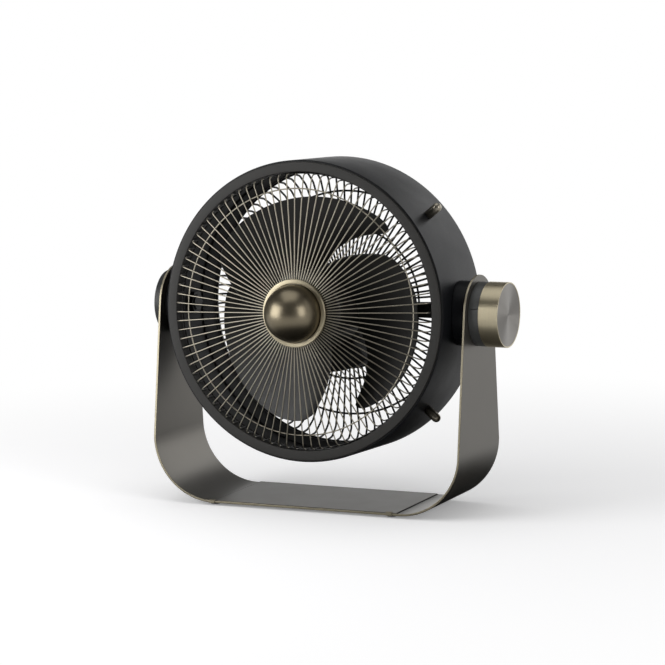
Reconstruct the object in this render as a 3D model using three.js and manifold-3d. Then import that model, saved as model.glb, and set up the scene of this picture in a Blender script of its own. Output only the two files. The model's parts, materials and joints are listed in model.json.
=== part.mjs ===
// Drum air circulator fan on a bent steel yoke, in millimetres, +Z up, front facing -Y.
// The drum tilts about the X axis through its two side bosses; the blade wheel turns about the drum's own axis.
import * as THREE from 'three';
import { mergeVertices, toCreasedNormals } from 'three/addons/utils/BufferGeometryUtils.js';
import Module from 'manifold-3d';

const wasm = await Module();
wasm.setup();

// ---------------------------------------------------------------- driving sizes

const SEAT_GAP = 0.3; // between two pieces that rest on each other
const RUNNING_GAP = 0.3; // radial, between a shaft and what it turns in
const WELD = 0.001; // points nearer than this are one point

// Drum
const DRUM_RADIUS = 170;
const DRUM_FRONT = 62; // from the pivot axis to the face of the bezel
const DRUM_REAR = 53.5; // from the pivot axis to the rear edge
const DRUM_WALL = 2;
const LIP_WIDTH = 13.2; // from the drum's side in to the clear front opening
const GROOVE_WIDTH = 2.1; // step between the drum's side and the face of the bezel
const BEZEL_THICKNESS = 2.2;
const BEZEL_SKIRT_DEPTH = 16; // from the bezel's face to the skirt's rear edge
const BEZEL_LAP_DEPTH = 10; // plug inside the drum's front edge
const REAR_LIP_WIDTH = 9; // from the drum's side in to the clear rear opening
const REAR_RING_DEPTH = 30; // inner ring that carries the rear grille
const REAR_RING_EDGE = 1.6; // thickness at its front edge
const HEAD_TILT = -2.4; // degrees, the drum leans back a little as it stands

// Grilles
const WIRE_COUNT = 92;
const DRUM_SIDES = WIRE_COUNT / 2; // two wires meet each flat of the drum's round pieces
const WIRE_RADIUS = 0.85;
const WIRE_SIDES = 3;
const HOOP_SEGMENTS = 36;
const GRILLE_BULGE = 16.6; // of the front grille's centre ahead of the bezel's face
const GRILLE_SHOULDER_BULGE = 7.4; // of the front wires where they start to bend back
const FRONT_SHOULDER_INSET = 11.3; // of the front wires' shoulder from the clear opening
const FRONT_HOOP_INSET = 7; // of the front hoop from that shoulder
const REAR_BULGE = 11.7; // of the rear wires behind the drum's rear edge
const REAR_SHOULDER_INSET = 7.3; // of the rear wires' shoulder from the clear opening
const REAR_HOOP_SHARES = { rear_hoop_inner: 0.383, rear_hoop_outer: 0.8 }; // from the motor plate to that shoulder
const BAND_WIDTH = 3; // of the bands that the wires are welded to, along the drum's axis
const BAND_THICKNESS = 2.4;
const DOME_RADIUS = 32.5;
const DOME_GAP = 0.7; // between the dome and the ring round it
const TRIM_RING_WIDTH = 5;
const TRIM_RING_HEIGHT = 3;
const TRIM_RING_OVERHANG = 1.2; // past the edge of the disc under it
const DOME_HEIGHT = 39;
const DOME_COLLAR = 3; // straight part under the dome's curve
const DOME_WALL = 2;
const DOME_SCREW_RADIUS = 2;
const DOME_SCREW_DEPTH = 12;
const CENTRE_DISC_THICKNESS = 3;

// Motor
const MOTOR_RADIUS = 49;
const MOTOR_FRONT = 8; // behind the pivot axis
const MOTOR_WALL = 2;
const MOTOR_SIDES = 24;
const MOTOR_PLATE_MARGIN = 1.6; // past the motor, all round
const MOTOR_PLATE_THICKNESS = 3;
const MOTOR_COVER_INSET = 8; // of the rear cover from the motor's side
const MOTOR_COVER_HEIGHT = 14;
const STATOR_LENGTH = 22;
const CAPACITOR_BAY_REACH = 75; // of the bay under the motor, from the drum's axis
const CAPACITOR_BAY_SPREAD = 80; // degrees round the axis
const MAGNET_RADIUS = 27;
const SHAFT_RADIUS = 4;
const BEARING_RADIUS = 11;
const BEARING_WIDTH = 7;
const DUCT_WIDTH = 16;
const DUCT_DEPTH = 10;
const DUCT_FRONT = 8; // behind the pivot axis

// Blade wheel
const BLADE_COUNT = 3;
const BLADE_TIP_INSET = 25.8; // of the blade tips from the clear opening
const BLADE_TIP_FALL = 8; // of the tip's outline, from the trailing edge to the leading edge
const BLADE_THICKNESS = 2.4;
const BLADE_TRAILING_Y = -54;
const BLADE_LEADING_Y = 4;
const HUB_RADIUS = 46;
const HUB_FRONT = -58;
const HUB_REAR = 5.5;
const HUB_WALL = 2.5;
const HUB_SLEEVE_RADIUS = 9;
const HUB_SLEEVE_REAR = -20;

// Yoke and base
const PIVOT_HEIGHT = 225.4; // above the surface that it stands on
const YOKE_THICKNESS = 2.6;
const YOKE_BEND_RADIUS = 73.5; // outer
const ARM_TOP_RADIUS = 43.65;
const BASE_FRONT_REACH = 64.4; // from the plane of the pivots to the front edge
const BASE_REAR_REACH = 57.5;
const FOOT_HEIGHT = 3.2;
const FOOT_RADIUS = 6.5;
const FOOT_STEM_RADIUS = 3;
const FOOT_INSET = 15; // of a foot's centre from the long edge of the base
const FOOT_FROM_BEND = { left: -3, right: 14.5 }; // along the base, from where the bend starts
const COVER_THICKNESS = 0.8;
const COVER_FROM_BEND = 3.3;
const CLIP_WIDTH = 7;
const CLIP_REACH = 3;
const CLIP_THICKNESS = 0.6;
const CLIP_OFFSET = 2.5; // of each edge clip from the foot under it

// Pivots
const BOSS_RADIUS = 36.5;
const BOSS_HEIGHT = 13.4; // proud of the drum's side
const FRICTION_WASHER_THICKNESS = 2.8;
const FRICTION_WASHER_RADIUS = 34;
const PIVOT_RADIUS = 9;
const PIVOT_BORE_RADIUS = 6;
const BUSH_WALL = 1.7;
const BUSH_FLANGE_RADIUS = 15;
const BUSH_FLANGE_THICKNESS = 1.2;
const PIVOT_NUT_RADIUS = 14; // across the corners
const PIVOT_NUT_THICKNESS = 3;
const BOSS_NUT_THICKNESS = 5;

// Control housing and knob on the right arm, plain cap on the left arm
const HOUSING_RADIUS = 36;
const HOUSING_DEPTH = 12;
const HOUSING_WALL = 2.6;
const HOUSING_END = 1.6;
const INDEX_ANGLE = 16; // degrees above the horizontal, at the front
const ARM_SIDES = 28; // of the round pieces on the arms
const BOARD_RADIUS = 31;
const BOARD_THICKNESS = 1.5;
const SWITCH_SIDE = 14;
const SWITCH_DEPTH = 2.8;
const SWITCH_BUSHING_RADIUS = 4.5;
const SWITCH_BUSHING_LENGTH = 4.5;
const SWITCH_SHAFT_RADIUS = 3;
const KNOB_RADIUS = 36.5;
const KNOB_LENGTH = 22.5;
const KNOB_WALL = 2.3;
const KNOB_FACE = 2.5;
const KNOB_HUB_RADIUS = 7;
const LEFT_CAP_DEPTH = 10.6;

// Tilt pegs on the drum's right side
const PEG_RADIUS = 5.2;
const PEG_LENGTH = 19.4; // proud of the drum
const PEG_STUD_RADIUS = 3;
const PEG_STUD_REACH = 1.5; // past the inside of the wall
const PEG_Y = -10;
const PEG_ANGLE = 39.7; // degrees above and below the horizontal

// ---------------------------------------------------------------- sizes that follow

const OPENING_RADIUS = DRUM_RADIUS - LIP_WIDTH;
const BEZEL_FACE_RADIUS = DRUM_RADIUS - GROOVE_WIDTH;
const GRILLE_SHOULDER_RADIUS = OPENING_RADIUS - FRONT_SHOULDER_INSET;
const FRONT_HOOP_RADIUS = GRILLE_SHOULDER_RADIUS - FRONT_HOOP_INSET;
const REAR_SHOULDER_RADIUS = OPENING_RADIUS - REAR_SHOULDER_INSET;
const TRIM_RING_RADIUS = DOME_RADIUS + DOME_GAP + TRIM_RING_WIDTH;
const CENTRE_DISC_RADIUS = TRIM_RING_RADIUS - TRIM_RING_OVERHANG;
const MOTOR_PLATE_RADIUS = MOTOR_RADIUS + MOTOR_PLATE_MARGIN;
const MOTOR_COVER_RADIUS = MOTOR_RADIUS - MOTOR_COVER_INSET;
const BLADE_TIP_RADIUS = OPENING_RADIUS - BLADE_TIP_INSET;

// The arms stand off the drum by its bosses and the washers between them.
const BOSS_OUTER_X = DRUM_RADIUS + BOSS_HEIGHT;
const ARM_INNER_X = BOSS_OUTER_X + 2 * SEAT_GAP + FRICTION_WASHER_THICKNESS;
const YOKE_HALF_SPAN = ARM_INNER_X + YOKE_THICKNESS;
const FLAT_HALF_LENGTH = YOKE_HALF_SPAN - YOKE_BEND_RADIUS;
const FOOT_X = { left: FOOT_FROM_BEND.left - FLAT_HALF_LENGTH, right: FLAT_HALF_LENGTH - FOOT_FROM_BEND.right };
const COVER_HALF_LENGTH = FLAT_HALF_LENGTH - COVER_FROM_BEND;

// ---------------------------------------------------------------- finishes

const FINISH = {
  satinBlack: { color: '#2a2b2c', roughness: 0.45, metalness: 0.4 },
  bezelGrey: { color: '#3b3a38', roughness: 0.5, metalness: 0.3 },
  titanium: { color: '#6c6a63', roughness: 0.35, metalness: 0.9 },
  champagne: { color: '#b5a98c', roughness: 0.3, metalness: 1 },
  wire: { color: '#9a958a', roughness: 0.35, metalness: 0.9 },
  darkWire: { color: '#2f2e2c', roughness: 0.45, metalness: 0.6 },
  bronze: { color: '#4a453d', roughness: 0.15, metalness: 1 },
  plastic: { color: '#1b1b1c', roughness: 0.6, metalness: 0 },
  blade: { color: '#262626', roughness: 0.5, metalness: 0 },
  steel: { color: '#8d8f91', roughness: 0.35, metalness: 1 },
  rubber: { color: '#141414', roughness: 0.9, metalness: 0 },
  board: { color: '#1d5a37', roughness: 0.6, metalness: 0 },
  copper: { color: '#9a5a33', roughness: 0.4, metalness: 0.8 },
  nylon: { color: '#d8d4c8', roughness: 0.6, metalness: 0 },
};

// ---------------------------------------------------------------- geometry helpers

const degrees = THREE.MathUtils.degToRad;

// Positions only, shared vertices merged, collapsed triangles dropped, faces turned outward.
function closed(geometry) {
  const bare = new THREE.BufferGeometry();
  bare.setAttribute('position', geometry.getAttribute('position').clone());
  if (geometry.index) bare.setIndex(geometry.index.clone());
  const merged = mergeVertices(bare, WELD / 10);
  const index = Array.from(merged.index.array);
  const kept = [];
  for (let i = 0; i < index.length; i += 3) {
    const [a, b, c] = index.slice(i, i + 3);
    if (a !== b && b !== c && c !== a) kept.push(a, b, c);
  }
  merged.setIndex(kept);
  if (volume(merged) < 0) merged.setIndex(kept.reverse());
  return merged;
}

function volume(geometry) {
  const position = geometry.getAttribute('position');
  const [a, b, c] = [new THREE.Vector3(), new THREE.Vector3(), new THREE.Vector3()];
  let total = 0;
  for (let i = 0; i < geometry.index.count; i += 3) {
    a.fromBufferAttribute(position, geometry.index.getX(i));
    b.fromBufferAttribute(position, geometry.index.getX(i + 1));
    c.fromBufferAttribute(position, geometry.index.getX(i + 2));
    total += a.dot(b.cross(c)) / 6;
  }
  return total;
}

function solid(geometry) {
  const { index, attributes } = closed(geometry);
  return new wasm.Manifold(new wasm.Mesh({
    numProp: 3,
    vertProperties: new Float32Array(attributes.position.array),
    triVerts: new Uint32Array(index.array),
    tolerance: WELD,
  }));
}

function geometryOf(manifold) {
  const mesh = manifold.getMesh();
  const geometry = new THREE.BufferGeometry();
  geometry.setAttribute('position', new THREE.BufferAttribute(new Float32Array(mesh.vertProperties), 3));
  geometry.setIndex(new THREE.BufferAttribute(new Uint32Array(mesh.triVerts), 1));
  return geometry;
}

const joined = (geometries) => geometryOf(wasm.Manifold.union(geometries.map(solid)));

function cut(geometry, tools) {
  let body = solid(geometry);
  for (const tool of tools) body = body.subtract(solid(tool));
  return geometryOf(body);
}

// A profile of [radius, distance along the axis], turned about Y. One that doesn't start on the axis is a ring.
function turned(profile, sides) {
  const points = profile.map(([radius, along]) => new THREE.Vector2(radius, along));
  if (profile[0][0] > 0) points.push(points[0].clone());
  return new THREE.LatheGeometry(points, sides);
}

const alongX = (geometry) => geometry.rotateZ(-Math.PI / 2);
const alongZ = (geometry) => geometry.rotateX(Math.PI / 2);
const turnedX = (profile, sides) => alongX(turned(profile, sides));
const turnedZ = (profile, sides) => alongZ(turned(profile, sides));

const disc = (radius, from, to) => [[0, from], [radius, from], [radius, to], [0, to]];
const ring = (inner, outer, from, to) => [[inner, from], [outer, from], [outer, to], [inner, to]];

function block(low, high) {
  const size = high.map((value, axis) => value - low[axis]);
  const centre = high.map((value, axis) => (value + low[axis]) / 2);
  return new THREE.BoxGeometry(...size).translate(...centre);
}

// Part of a ring round the drum's axis, centred on its lowest point.
function lowerSector(inner, outer, from, to, spread) {
  const [start, end] = [degrees(-90 - spread / 2), degrees(-90 + spread / 2)];
  const outline = new THREE.Shape();
  outline.absarc(0, 0, outer, start, end, false);
  outline.absarc(0, 0, inner, end, start, true);
  outline.closePath();
  return new THREE.ExtrudeGeometry(outline, { depth: to - from, bevelEnabled: false, curveSegments: 7 })
    .rotateX(Math.PI / 2).translate(0, to, 0);
}

// A hexagon nut along Y with a round hole.
function hexNut(cornerRadius, holeRadius, from, to, holeSides = 14) {
  const outline = new THREE.Shape();
  for (let corner = 0; corner < 6; corner += 1) {
    const angle = corner * Math.PI / 3;
    const point = [cornerRadius * Math.cos(angle), cornerRadius * Math.sin(angle)];
    if (corner === 0) outline.moveTo(...point);
    else outline.lineTo(...point);
  }
  outline.closePath();
  outline.holes.push(new THREE.Path().absarc(0, 0, holeRadius, 0, 2 * Math.PI, true));
  const nut = new THREE.ExtrudeGeometry(outline, { depth: to - from, bevelEnabled: false, curveSegments: holeSides / 2 });
  return nut.rotateX(-Math.PI / 2).translate(0, from, 0);
}

// A wire through [radius, y] points in the plane of the drum's axis, mitred where it bends.
function wire(route, radius, sides) {
  const points = route.map(([out, along]) => new THREE.Vector2(out, along));
  const positions = [];
  points.forEach((point, i) => {
    const before = points[Math.max(i - 1, 0)];
    const after = points[Math.min(i + 1, points.length - 1)];
    const entering = (i === 0 ? after.clone().sub(point) : point.clone().sub(before)).normalize();
    const leaving = (i === points.length - 1 ? entering.clone() : after.clone().sub(point).normalize());
    const tangent = entering.clone().add(leaving).normalize();
    const widen = 1 / tangent.dot(entering);
    const normal = new THREE.Vector2(-tangent.y, tangent.x).multiplyScalar(radius * widen);
    for (let side = 0; side < sides; side += 1) {
      const angle = 2 * Math.PI * side / sides + Math.PI;
      const lift = Math.cos(angle);
      positions.push(point.x + normal.x * lift, point.y + normal.y * lift, radius * Math.sin(angle));
    }
  });
  return lofted(positions, sides, points.length);
}

// A closed body through equal rings of points, with its two ends capped.
function lofted(positions, perRing, rings) {
  const index = [];
  for (let station = 0; station < rings - 1; station += 1) {
    for (let side = 0; side < perRing; side += 1) {
      const a = station * perRing + side;
      const b = station * perRing + (side + 1) % perRing;
      index.push(a, b, b + perRing, a, b + perRing, a + perRing);
    }
  }
  const last = (rings - 1) * perRing;
  for (let side = 1; side < perRing - 1; side += 1) {
    index.push(0, side + 1, side, last, last + side, last + side + 1);
  }
  const geometry = new THREE.BufferGeometry();
  geometry.setAttribute('position', new THREE.Float32BufferAttribute(positions, 3));
  geometry.setIndex(index);
  return geometry;
}

function piece(name, finish, geometry) {
  const faceted = toCreasedNormals(closed(geometry), degrees(30));
  const mesh = new THREE.Mesh(faceted, new THREE.MeshStandardMaterial(FINISH[finish]));
  mesh.name = name;
  return mesh;
}

// ---------------------------------------------------------------- yoke and base

const BASE_TOP = FOOT_HEIGHT + YOKE_THICKNESS;
const BUSH_RADIUS = PIVOT_RADIUS + RUNNING_GAP + BUSH_WALL;
const ARM_HOLE_RADIUS = BUSH_RADIUS + SEAT_GAP;

// The strip seen from the front: two arms, two round bends and the base between them.
function yokeFrontProfile() {
  const top = PIVOT_HEIGHT + ARM_TOP_RADIUS + 1;
  const inner = YOKE_BEND_RADIUS - YOKE_THICKNESS;
  const bendZ = FOOT_HEIGHT + YOKE_BEND_RADIUS;
  const bendX = YOKE_HALF_SPAN - YOKE_BEND_RADIUS;
  const outline = new THREE.Shape();
  outline.moveTo(-YOKE_HALF_SPAN, top);
  outline.lineTo(-YOKE_HALF_SPAN, bendZ);
  outline.absarc(-bendX, bendZ, YOKE_BEND_RADIUS, Math.PI, 1.5 * Math.PI, false);
  outline.absarc(bendX, bendZ, YOKE_BEND_RADIUS, -0.5 * Math.PI, 0, false);
  outline.lineTo(YOKE_HALF_SPAN, top);
  outline.lineTo(ARM_INNER_X, top);
  outline.absarc(bendX, bendZ, inner, 0, -0.5 * Math.PI, true);
  outline.absarc(-bendX, bendZ, inner, 1.5 * Math.PI, Math.PI, true);
  outline.lineTo(-ARM_INNER_X, top);
  outline.closePath();
  return outline;
}

// The strip seen from the side: a round top whose sides run down at a tangent to the full width at the bend.
function yokeSideProfile() {
  const bendZ = FOOT_HEIGHT + YOKE_BEND_RADIUS;
  const rise = PIVOT_HEIGHT - bendZ;
  const tangentAngle = (reach) => Math.acos(ARM_TOP_RADIUS / Math.hypot(reach, rise)) - Math.atan2(rise, reach);
  const outline = new THREE.Shape();
  outline.moveTo(-BASE_FRONT_REACH, 0);
  outline.lineTo(BASE_REAR_REACH, 0);
  outline.lineTo(BASE_REAR_REACH, bendZ);
  outline.absarc(
    0, PIVOT_HEIGHT, ARM_TOP_RADIUS, tangentAngle(BASE_REAR_REACH), Math.PI - tangentAngle(BASE_FRONT_REACH), false);
  outline.lineTo(-BASE_FRONT_REACH, bendZ);
  outline.closePath();
  return outline;
}

function yokeStrap() {
  const front = new THREE.ExtrudeGeometry(yokeFrontProfile(), {
    depth: BASE_FRONT_REACH + BASE_REAR_REACH + 2, bevelEnabled: false, curveSegments: 8,
  }).translate(0, 0, -BASE_REAR_REACH - 1).rotateX(Math.PI / 2);
  const side = new THREE.ExtrudeGeometry(yokeSideProfile(), {
    depth: 2 * YOKE_HALF_SPAN + 2, bevelEnabled: false, curveSegments: 10,
  }).translate(0, 0, -YOKE_HALF_SPAN - 1).rotateX(Math.PI / 2).rotateZ(Math.PI / 2);
  const blank = solid(front).intersect(solid(side));
  const pivotHoles = turnedX(disc(ARM_HOLE_RADIUS, -YOKE_HALF_SPAN - 1, YOKE_HALF_SPAN + 1), 16)
    .translate(0, 0, PIVOT_HEIGHT);
  const footHoles = footPlaces().map(({ x, y }) => (
    turnedZ(disc(FOOT_STEM_RADIUS + SEAT_GAP, 0, BASE_TOP + 1), 8).translate(x, y, 0)));
  return cut(geometryOf(blank), [pivotHoles, ...footHoles]);
}

function footPlaces() {
  const places = [];
  for (const [side, x] of Object.entries(FOOT_X)) {
    places.push({ name: `foot_front_${side}`, x, y: FOOT_INSET - BASE_FRONT_REACH });
    places.push({ name: `foot_rear_${side}`, x, y: BASE_REAR_REACH - FOOT_INSET });
  }
  return places;
}

// A rubber pad with a stem that presses into its hole in the base.
function foot() {
  return turnedZ([
    [0, 0], [FOOT_RADIUS - 0.8, 0], [FOOT_RADIUS, FOOT_HEIGHT - SEAT_GAP], [FOOT_STEM_RADIUS, FOOT_HEIGHT - SEAT_GAP],
    [FOOT_STEM_RADIUS, BASE_TOP - SEAT_GAP], [0, BASE_TOP - SEAT_GAP],
  ], 10);
}

function baseCover() {
  return block(
    [-COVER_HALF_LENGTH, -BASE_FRONT_REACH, BASE_TOP],
    [COVER_HALF_LENGTH, BASE_REAR_REACH, BASE_TOP + COVER_THICKNESS],
  );
}

// A small angle clip on the front edge of the base. The right one also holds the cover down.
function edgeClip(x, top) {
  const edge = -BASE_FRONT_REACH;
  const halfWidth = CLIP_WIDTH / 2;
  const outer = block(
    [x - halfWidth, edge - SEAT_GAP - CLIP_THICKNESS, FOOT_HEIGHT],
    [x + halfWidth, edge + CLIP_REACH, top + SEAT_GAP + CLIP_THICKNESS],
  );
  const mouth = block(
    [x - halfWidth - 1, edge - SEAT_GAP, FOOT_HEIGHT - 1],
    [x + halfWidth + 1, edge + CLIP_REACH + 1, top + SEAT_GAP],
  );
  return cut(outer, [mouth]);
}

function standPieces() {
  const clipX = (side) => FOOT_X[side] + CLIP_OFFSET;
  return [
    piece('yoke_strap', 'titanium', yokeStrap()),
    piece('base_cover', 'titanium', baseCover()),
    piece('cover_clip_left', 'champagne', edgeClip(clipX('left'), BASE_TOP)),
    piece('cover_clip_right', 'champagne', edgeClip(clipX('right'), BASE_TOP + COVER_THICKNESS)),
    ...footPlaces().map(({ name, x, y }) => piece(name, 'rubber', foot().translate(x, y, 0))),
  ];
}

// ---------------------------------------------------------------- pivots, housing and cap on the arms

const BUSH_OUTER_X = YOKE_HALF_SPAN + SEAT_GAP + BUSH_FLANGE_THICKNESS;
const PIVOT_NUT_X = BUSH_OUTER_X + SEAT_GAP;
const PIVOT_END_X = PIVOT_NUT_X + PIVOT_NUT_THICKNESS + SEAT_GAP;
const BOARD_X = PIVOT_END_X + SEAT_GAP;
const SWITCH_X = BOARD_X + BOARD_THICKNESS + SEAT_GAP;
const HOUSING_END_X = YOKE_HALF_SPAN + HOUSING_DEPTH;
const KNOB_X = HOUSING_END_X + SEAT_GAP;

const frictionWasher = () => turnedX(
  ring(ARM_HOLE_RADIUS, FRICTION_WASHER_RADIUS, BOSS_OUTER_X + SEAT_GAP, ARM_INNER_X - SEAT_GAP), 18);

function pivotBush() {
  const inner = PIVOT_RADIUS + RUNNING_GAP;
  const from = BOSS_OUTER_X + SEAT_GAP;
  const flange = YOKE_HALF_SPAN + SEAT_GAP;
  return turnedX([
    [inner, from], [BUSH_RADIUS, from], [BUSH_RADIUS, flange], [BUSH_FLANGE_RADIUS, flange],
    [BUSH_FLANGE_RADIUS, BUSH_OUTER_X], [inner, BUSH_OUTER_X],
  ], 14);
}

function controlHousing() {
  const inner = HOUSING_RADIUS - HOUSING_WALL;
  const shoulder = HOUSING_END_X - HOUSING_END;
  const hole = SWITCH_BUSHING_RADIUS + SEAT_GAP;
  const cup = turnedX([
    [inner, YOKE_HALF_SPAN + SEAT_GAP], [HOUSING_RADIUS, YOKE_HALF_SPAN + SEAT_GAP], [HOUSING_RADIUS, HOUSING_END_X],
    [hole, HOUSING_END_X], [hole, shoulder], [inner, shoulder],
  ], ARM_SIDES);
  const indexGroove = block(
    [YOKE_HALF_SPAN - 1, -HOUSING_RADIUS - 1, -0.4], [HOUSING_END_X + 1, -HOUSING_RADIUS + 0.6, 0.4],
  ).rotateX(-degrees(INDEX_ANGLE));
  return cut(cup, [indexGroove]);
}

const controlBoard = () => turnedX(disc(BOARD_RADIUS, BOARD_X, BOARD_X + BOARD_THICKNESS), 20);

// A flat rotary switch whose threaded bushing goes through the end of the housing.
function speedSwitch() {
  const half = SWITCH_SIDE / 2;
  const bushingEnd = SWITCH_X + SWITCH_DEPTH + SWITCH_BUSHING_LENGTH;
  const box = block([SWITCH_X, -half, -half], [SWITCH_X + SWITCH_DEPTH, half, half]);
  const bushing = turnedX(disc(SWITCH_BUSHING_RADIUS, SWITCH_X + 1, bushingEnd), 12);
  const bore = turnedX(disc(SWITCH_SHAFT_RADIUS + RUNNING_GAP, SWITCH_X + 1, bushingEnd + 1), 12);
  return cut(joined([box, bushing]), [bore]);
}

function leftCap() {
  const inner = KNOB_RADIUS - KNOB_WALL;
  const end = YOKE_HALF_SPAN + LEFT_CAP_DEPTH;
  return turnedX([
    [0, -end], [KNOB_RADIUS - 2, -end], [KNOB_RADIUS, 2 - end], [KNOB_RADIUS, -YOKE_HALF_SPAN - SEAT_GAP],
    [inner, -YOKE_HALF_SPAN - SEAT_GAP], [inner, KNOB_FACE - end], [0, KNOB_FACE - end],
  ], ARM_SIDES);
}

const mirroredX = (geometry) => geometry.scale(-1, 1, 1);

function armPieces() {
  return [
    piece('friction_washer_right', 'nylon', frictionWasher()),
    piece('friction_washer_left', 'nylon', mirroredX(frictionWasher())),
    piece('pivot_bush_right', 'nylon', pivotBush()),
    piece('pivot_bush_left', 'nylon', mirroredX(pivotBush())),
    piece('control_housing', 'plastic', controlHousing()),
    piece('control_board', 'board', controlBoard()),
    piece('speed_switch', 'steel', speedSwitch()),
    piece('left_cap', 'plastic', leftCap()),
  ];
}

// ---------------------------------------------------------------- speed knob

function knobCap() {
  const inner = KNOB_RADIUS - KNOB_WALL;
  const end = KNOB_X + KNOB_LENGTH;
  return turnedX([
    [0, end - KNOB_FACE], [inner, end - KNOB_FACE], [inner, KNOB_X], [KNOB_RADIUS, KNOB_X],
    [KNOB_RADIUS, end - 1.2], [KNOB_RADIUS - 1.2, end], [0, end],
  ], ARM_SIDES);
}

// The moulded core: a sleeve on the switch shaft and a web that carries the metal cap.
function knobCore() {
  const bore = SWITCH_SHAFT_RADIUS + SEAT_GAP;
  const start = SWITCH_X + SWITCH_DEPTH + SWITCH_BUSHING_LENGTH + SEAT_GAP;
  const end = KNOB_X + KNOB_LENGTH - KNOB_FACE - SEAT_GAP;
  const rim = KNOB_RADIUS - KNOB_WALL - SEAT_GAP;
  const web = end - KNOB_FACE;
  return turnedX([[bore, start], [KNOB_HUB_RADIUS, start], [KNOB_HUB_RADIUS, web], [rim, web], [rim, end], [bore, end]], 16);
}

const switchShaft = () => turnedX(
  disc(SWITCH_SHAFT_RADIUS, SWITCH_X + 1 + SEAT_GAP, KNOB_X + KNOB_LENGTH - KNOB_FACE - 2), 12);

function knobPieces() {
  return [
    piece('speed_knob', 'champagne', knobCap()),
    piece('knob_core', 'plastic', knobCore()),
    piece('switch_shaft', 'steel', switchShaft()),
  ];
}

// ---------------------------------------------------------------- drum

const DRUM_INNER = DRUM_RADIUS - DRUM_WALL;
const DRUM_MOUTH_Y = -DRUM_FRONT + BEZEL_THICKNESS;
const REAR_FLANGE_Y = DRUM_REAR - DRUM_WALL;
const REAR_OPENING_RADIUS = DRUM_RADIUS - REAR_LIP_WIDTH;
const PEG_ANGLES = { tilt_peg_upper: PEG_ANGLE, tilt_peg_lower: -PEG_ANGLE };

// Turns a piece that was made along +X to an angle above the horizontal, seen from the front.
const raised = (geometry, angle) => geometry.rotateY(-degrees(angle)).translate(0, PEG_Y, 0);

function drumShell() {
  const shell = turned([
    [DRUM_INNER, DRUM_MOUTH_Y], [DRUM_RADIUS - 1.2, DRUM_MOUTH_Y], [DRUM_RADIUS, DRUM_MOUTH_Y + 1.2],
    [DRUM_RADIUS, DRUM_REAR - 2], [DRUM_RADIUS - 2, DRUM_REAR], [REAR_OPENING_RADIUS, DRUM_REAR],
    [REAR_OPENING_RADIUS, REAR_FLANGE_Y], [DRUM_INNER, REAR_FLANGE_Y],
  ], DRUM_SIDES);
  const pivotHole = turnedX(disc(PIVOT_RADIUS + SEAT_GAP, -DRUM_RADIUS - 1, DRUM_RADIUS + 1), 16);
  const pegHoles = Object.values(PEG_ANGLES).map((angle) => (
    raised(turnedX(disc(PEG_STUD_RADIUS + SEAT_GAP, DRUM_INNER - 5, DRUM_RADIUS + 5), 8), angle)));
  return cut(shell, [pivotHole, ...pegHoles]);
}

// The face ring, with a skirt round the front grille and a lap that plugs into the drum.
function frontBezel() {
  const face = -DRUM_FRONT;
  const back = DRUM_MOUTH_Y - SEAT_GAP;
  const lap = DRUM_INNER - SEAT_GAP;
  const skirt = OPENING_RADIUS + 2.4;
  return turned([
    [OPENING_RADIUS, face], [BEZEL_FACE_RADIUS, face], [BEZEL_FACE_RADIUS, back], [lap, back],
    [lap, face + BEZEL_LAP_DEPTH], [skirt, face + BEZEL_LAP_DEPTH], [skirt, face + BEZEL_SKIRT_DEPTH],
    [OPENING_RADIUS, face + BEZEL_SKIRT_DEPTH],
  ], DRUM_SIDES);
}

// A ring that narrows from the drum's wall to the straight seat of the rear grille's band.
function rearRing() {
  const front = REAR_FLANGE_Y - REAR_RING_DEPTH;
  const seat = REAR_RIM_Y - BAND_WIDTH;
  const rear = REAR_FLANGE_Y - SEAT_GAP;
  const outer = DRUM_INNER - SEAT_GAP;
  const skirt = REAR_OPENING_RADIUS + 2.4;
  return turned([
    [REAR_OPENING_RADIUS, seat], [outer - REAR_RING_EDGE, front], [outer, front], [outer, front + 6],
    [skirt, seat], [skirt, rear], [REAR_OPENING_RADIUS, rear],
  ], DRUM_SIDES);
}

// A solid round boss whose inner end follows the drum's wall.
function sideBoss() {
  const blank = turnedX([
    [PIVOT_RADIUS + SEAT_GAP, DRUM_RADIUS - 15], [BOSS_RADIUS, DRUM_RADIUS - 15], [BOSS_RADIUS, BOSS_OUTER_X],
    [PIVOT_RADIUS + SEAT_GAP, BOSS_OUTER_X],
  ], ARM_SIDES);
  const drum = turned(disc(DRUM_RADIUS + SEAT_GAP, -DRUM_FRONT, DRUM_FRONT), DRUM_SIDES);
  return cut(blank, [drum]);
}

// The right pivot is a tube that the motor's wires pass through, the left one is solid.
const PIVOT_START_X = DRUM_INNER - SEAT_GAP - 0.7 - BOSS_NUT_THICKNESS - 1.5;
const pivotTube = () => turnedX(ring(PIVOT_BORE_RADIUS, PIVOT_RADIUS, PIVOT_START_X, PIVOT_END_X), 14);
const pivotBolt = () => turnedX(disc(PIVOT_RADIUS, PIVOT_START_X, PIVOT_END_X), 14);

const pivotNut = () => alongX(hexNut(
  PIVOT_NUT_RADIUS, PIVOT_RADIUS + SEAT_GAP, PIVOT_NUT_X, PIVOT_NUT_X + PIVOT_NUT_THICKNESS));

function bossNut() {
  const outer = DRUM_INNER - SEAT_GAP - 0.7;
  return alongX(hexNut(PIVOT_NUT_RADIUS, PIVOT_RADIUS + SEAT_GAP, outer - BOSS_NUT_THICKNESS, outer));
}

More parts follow.
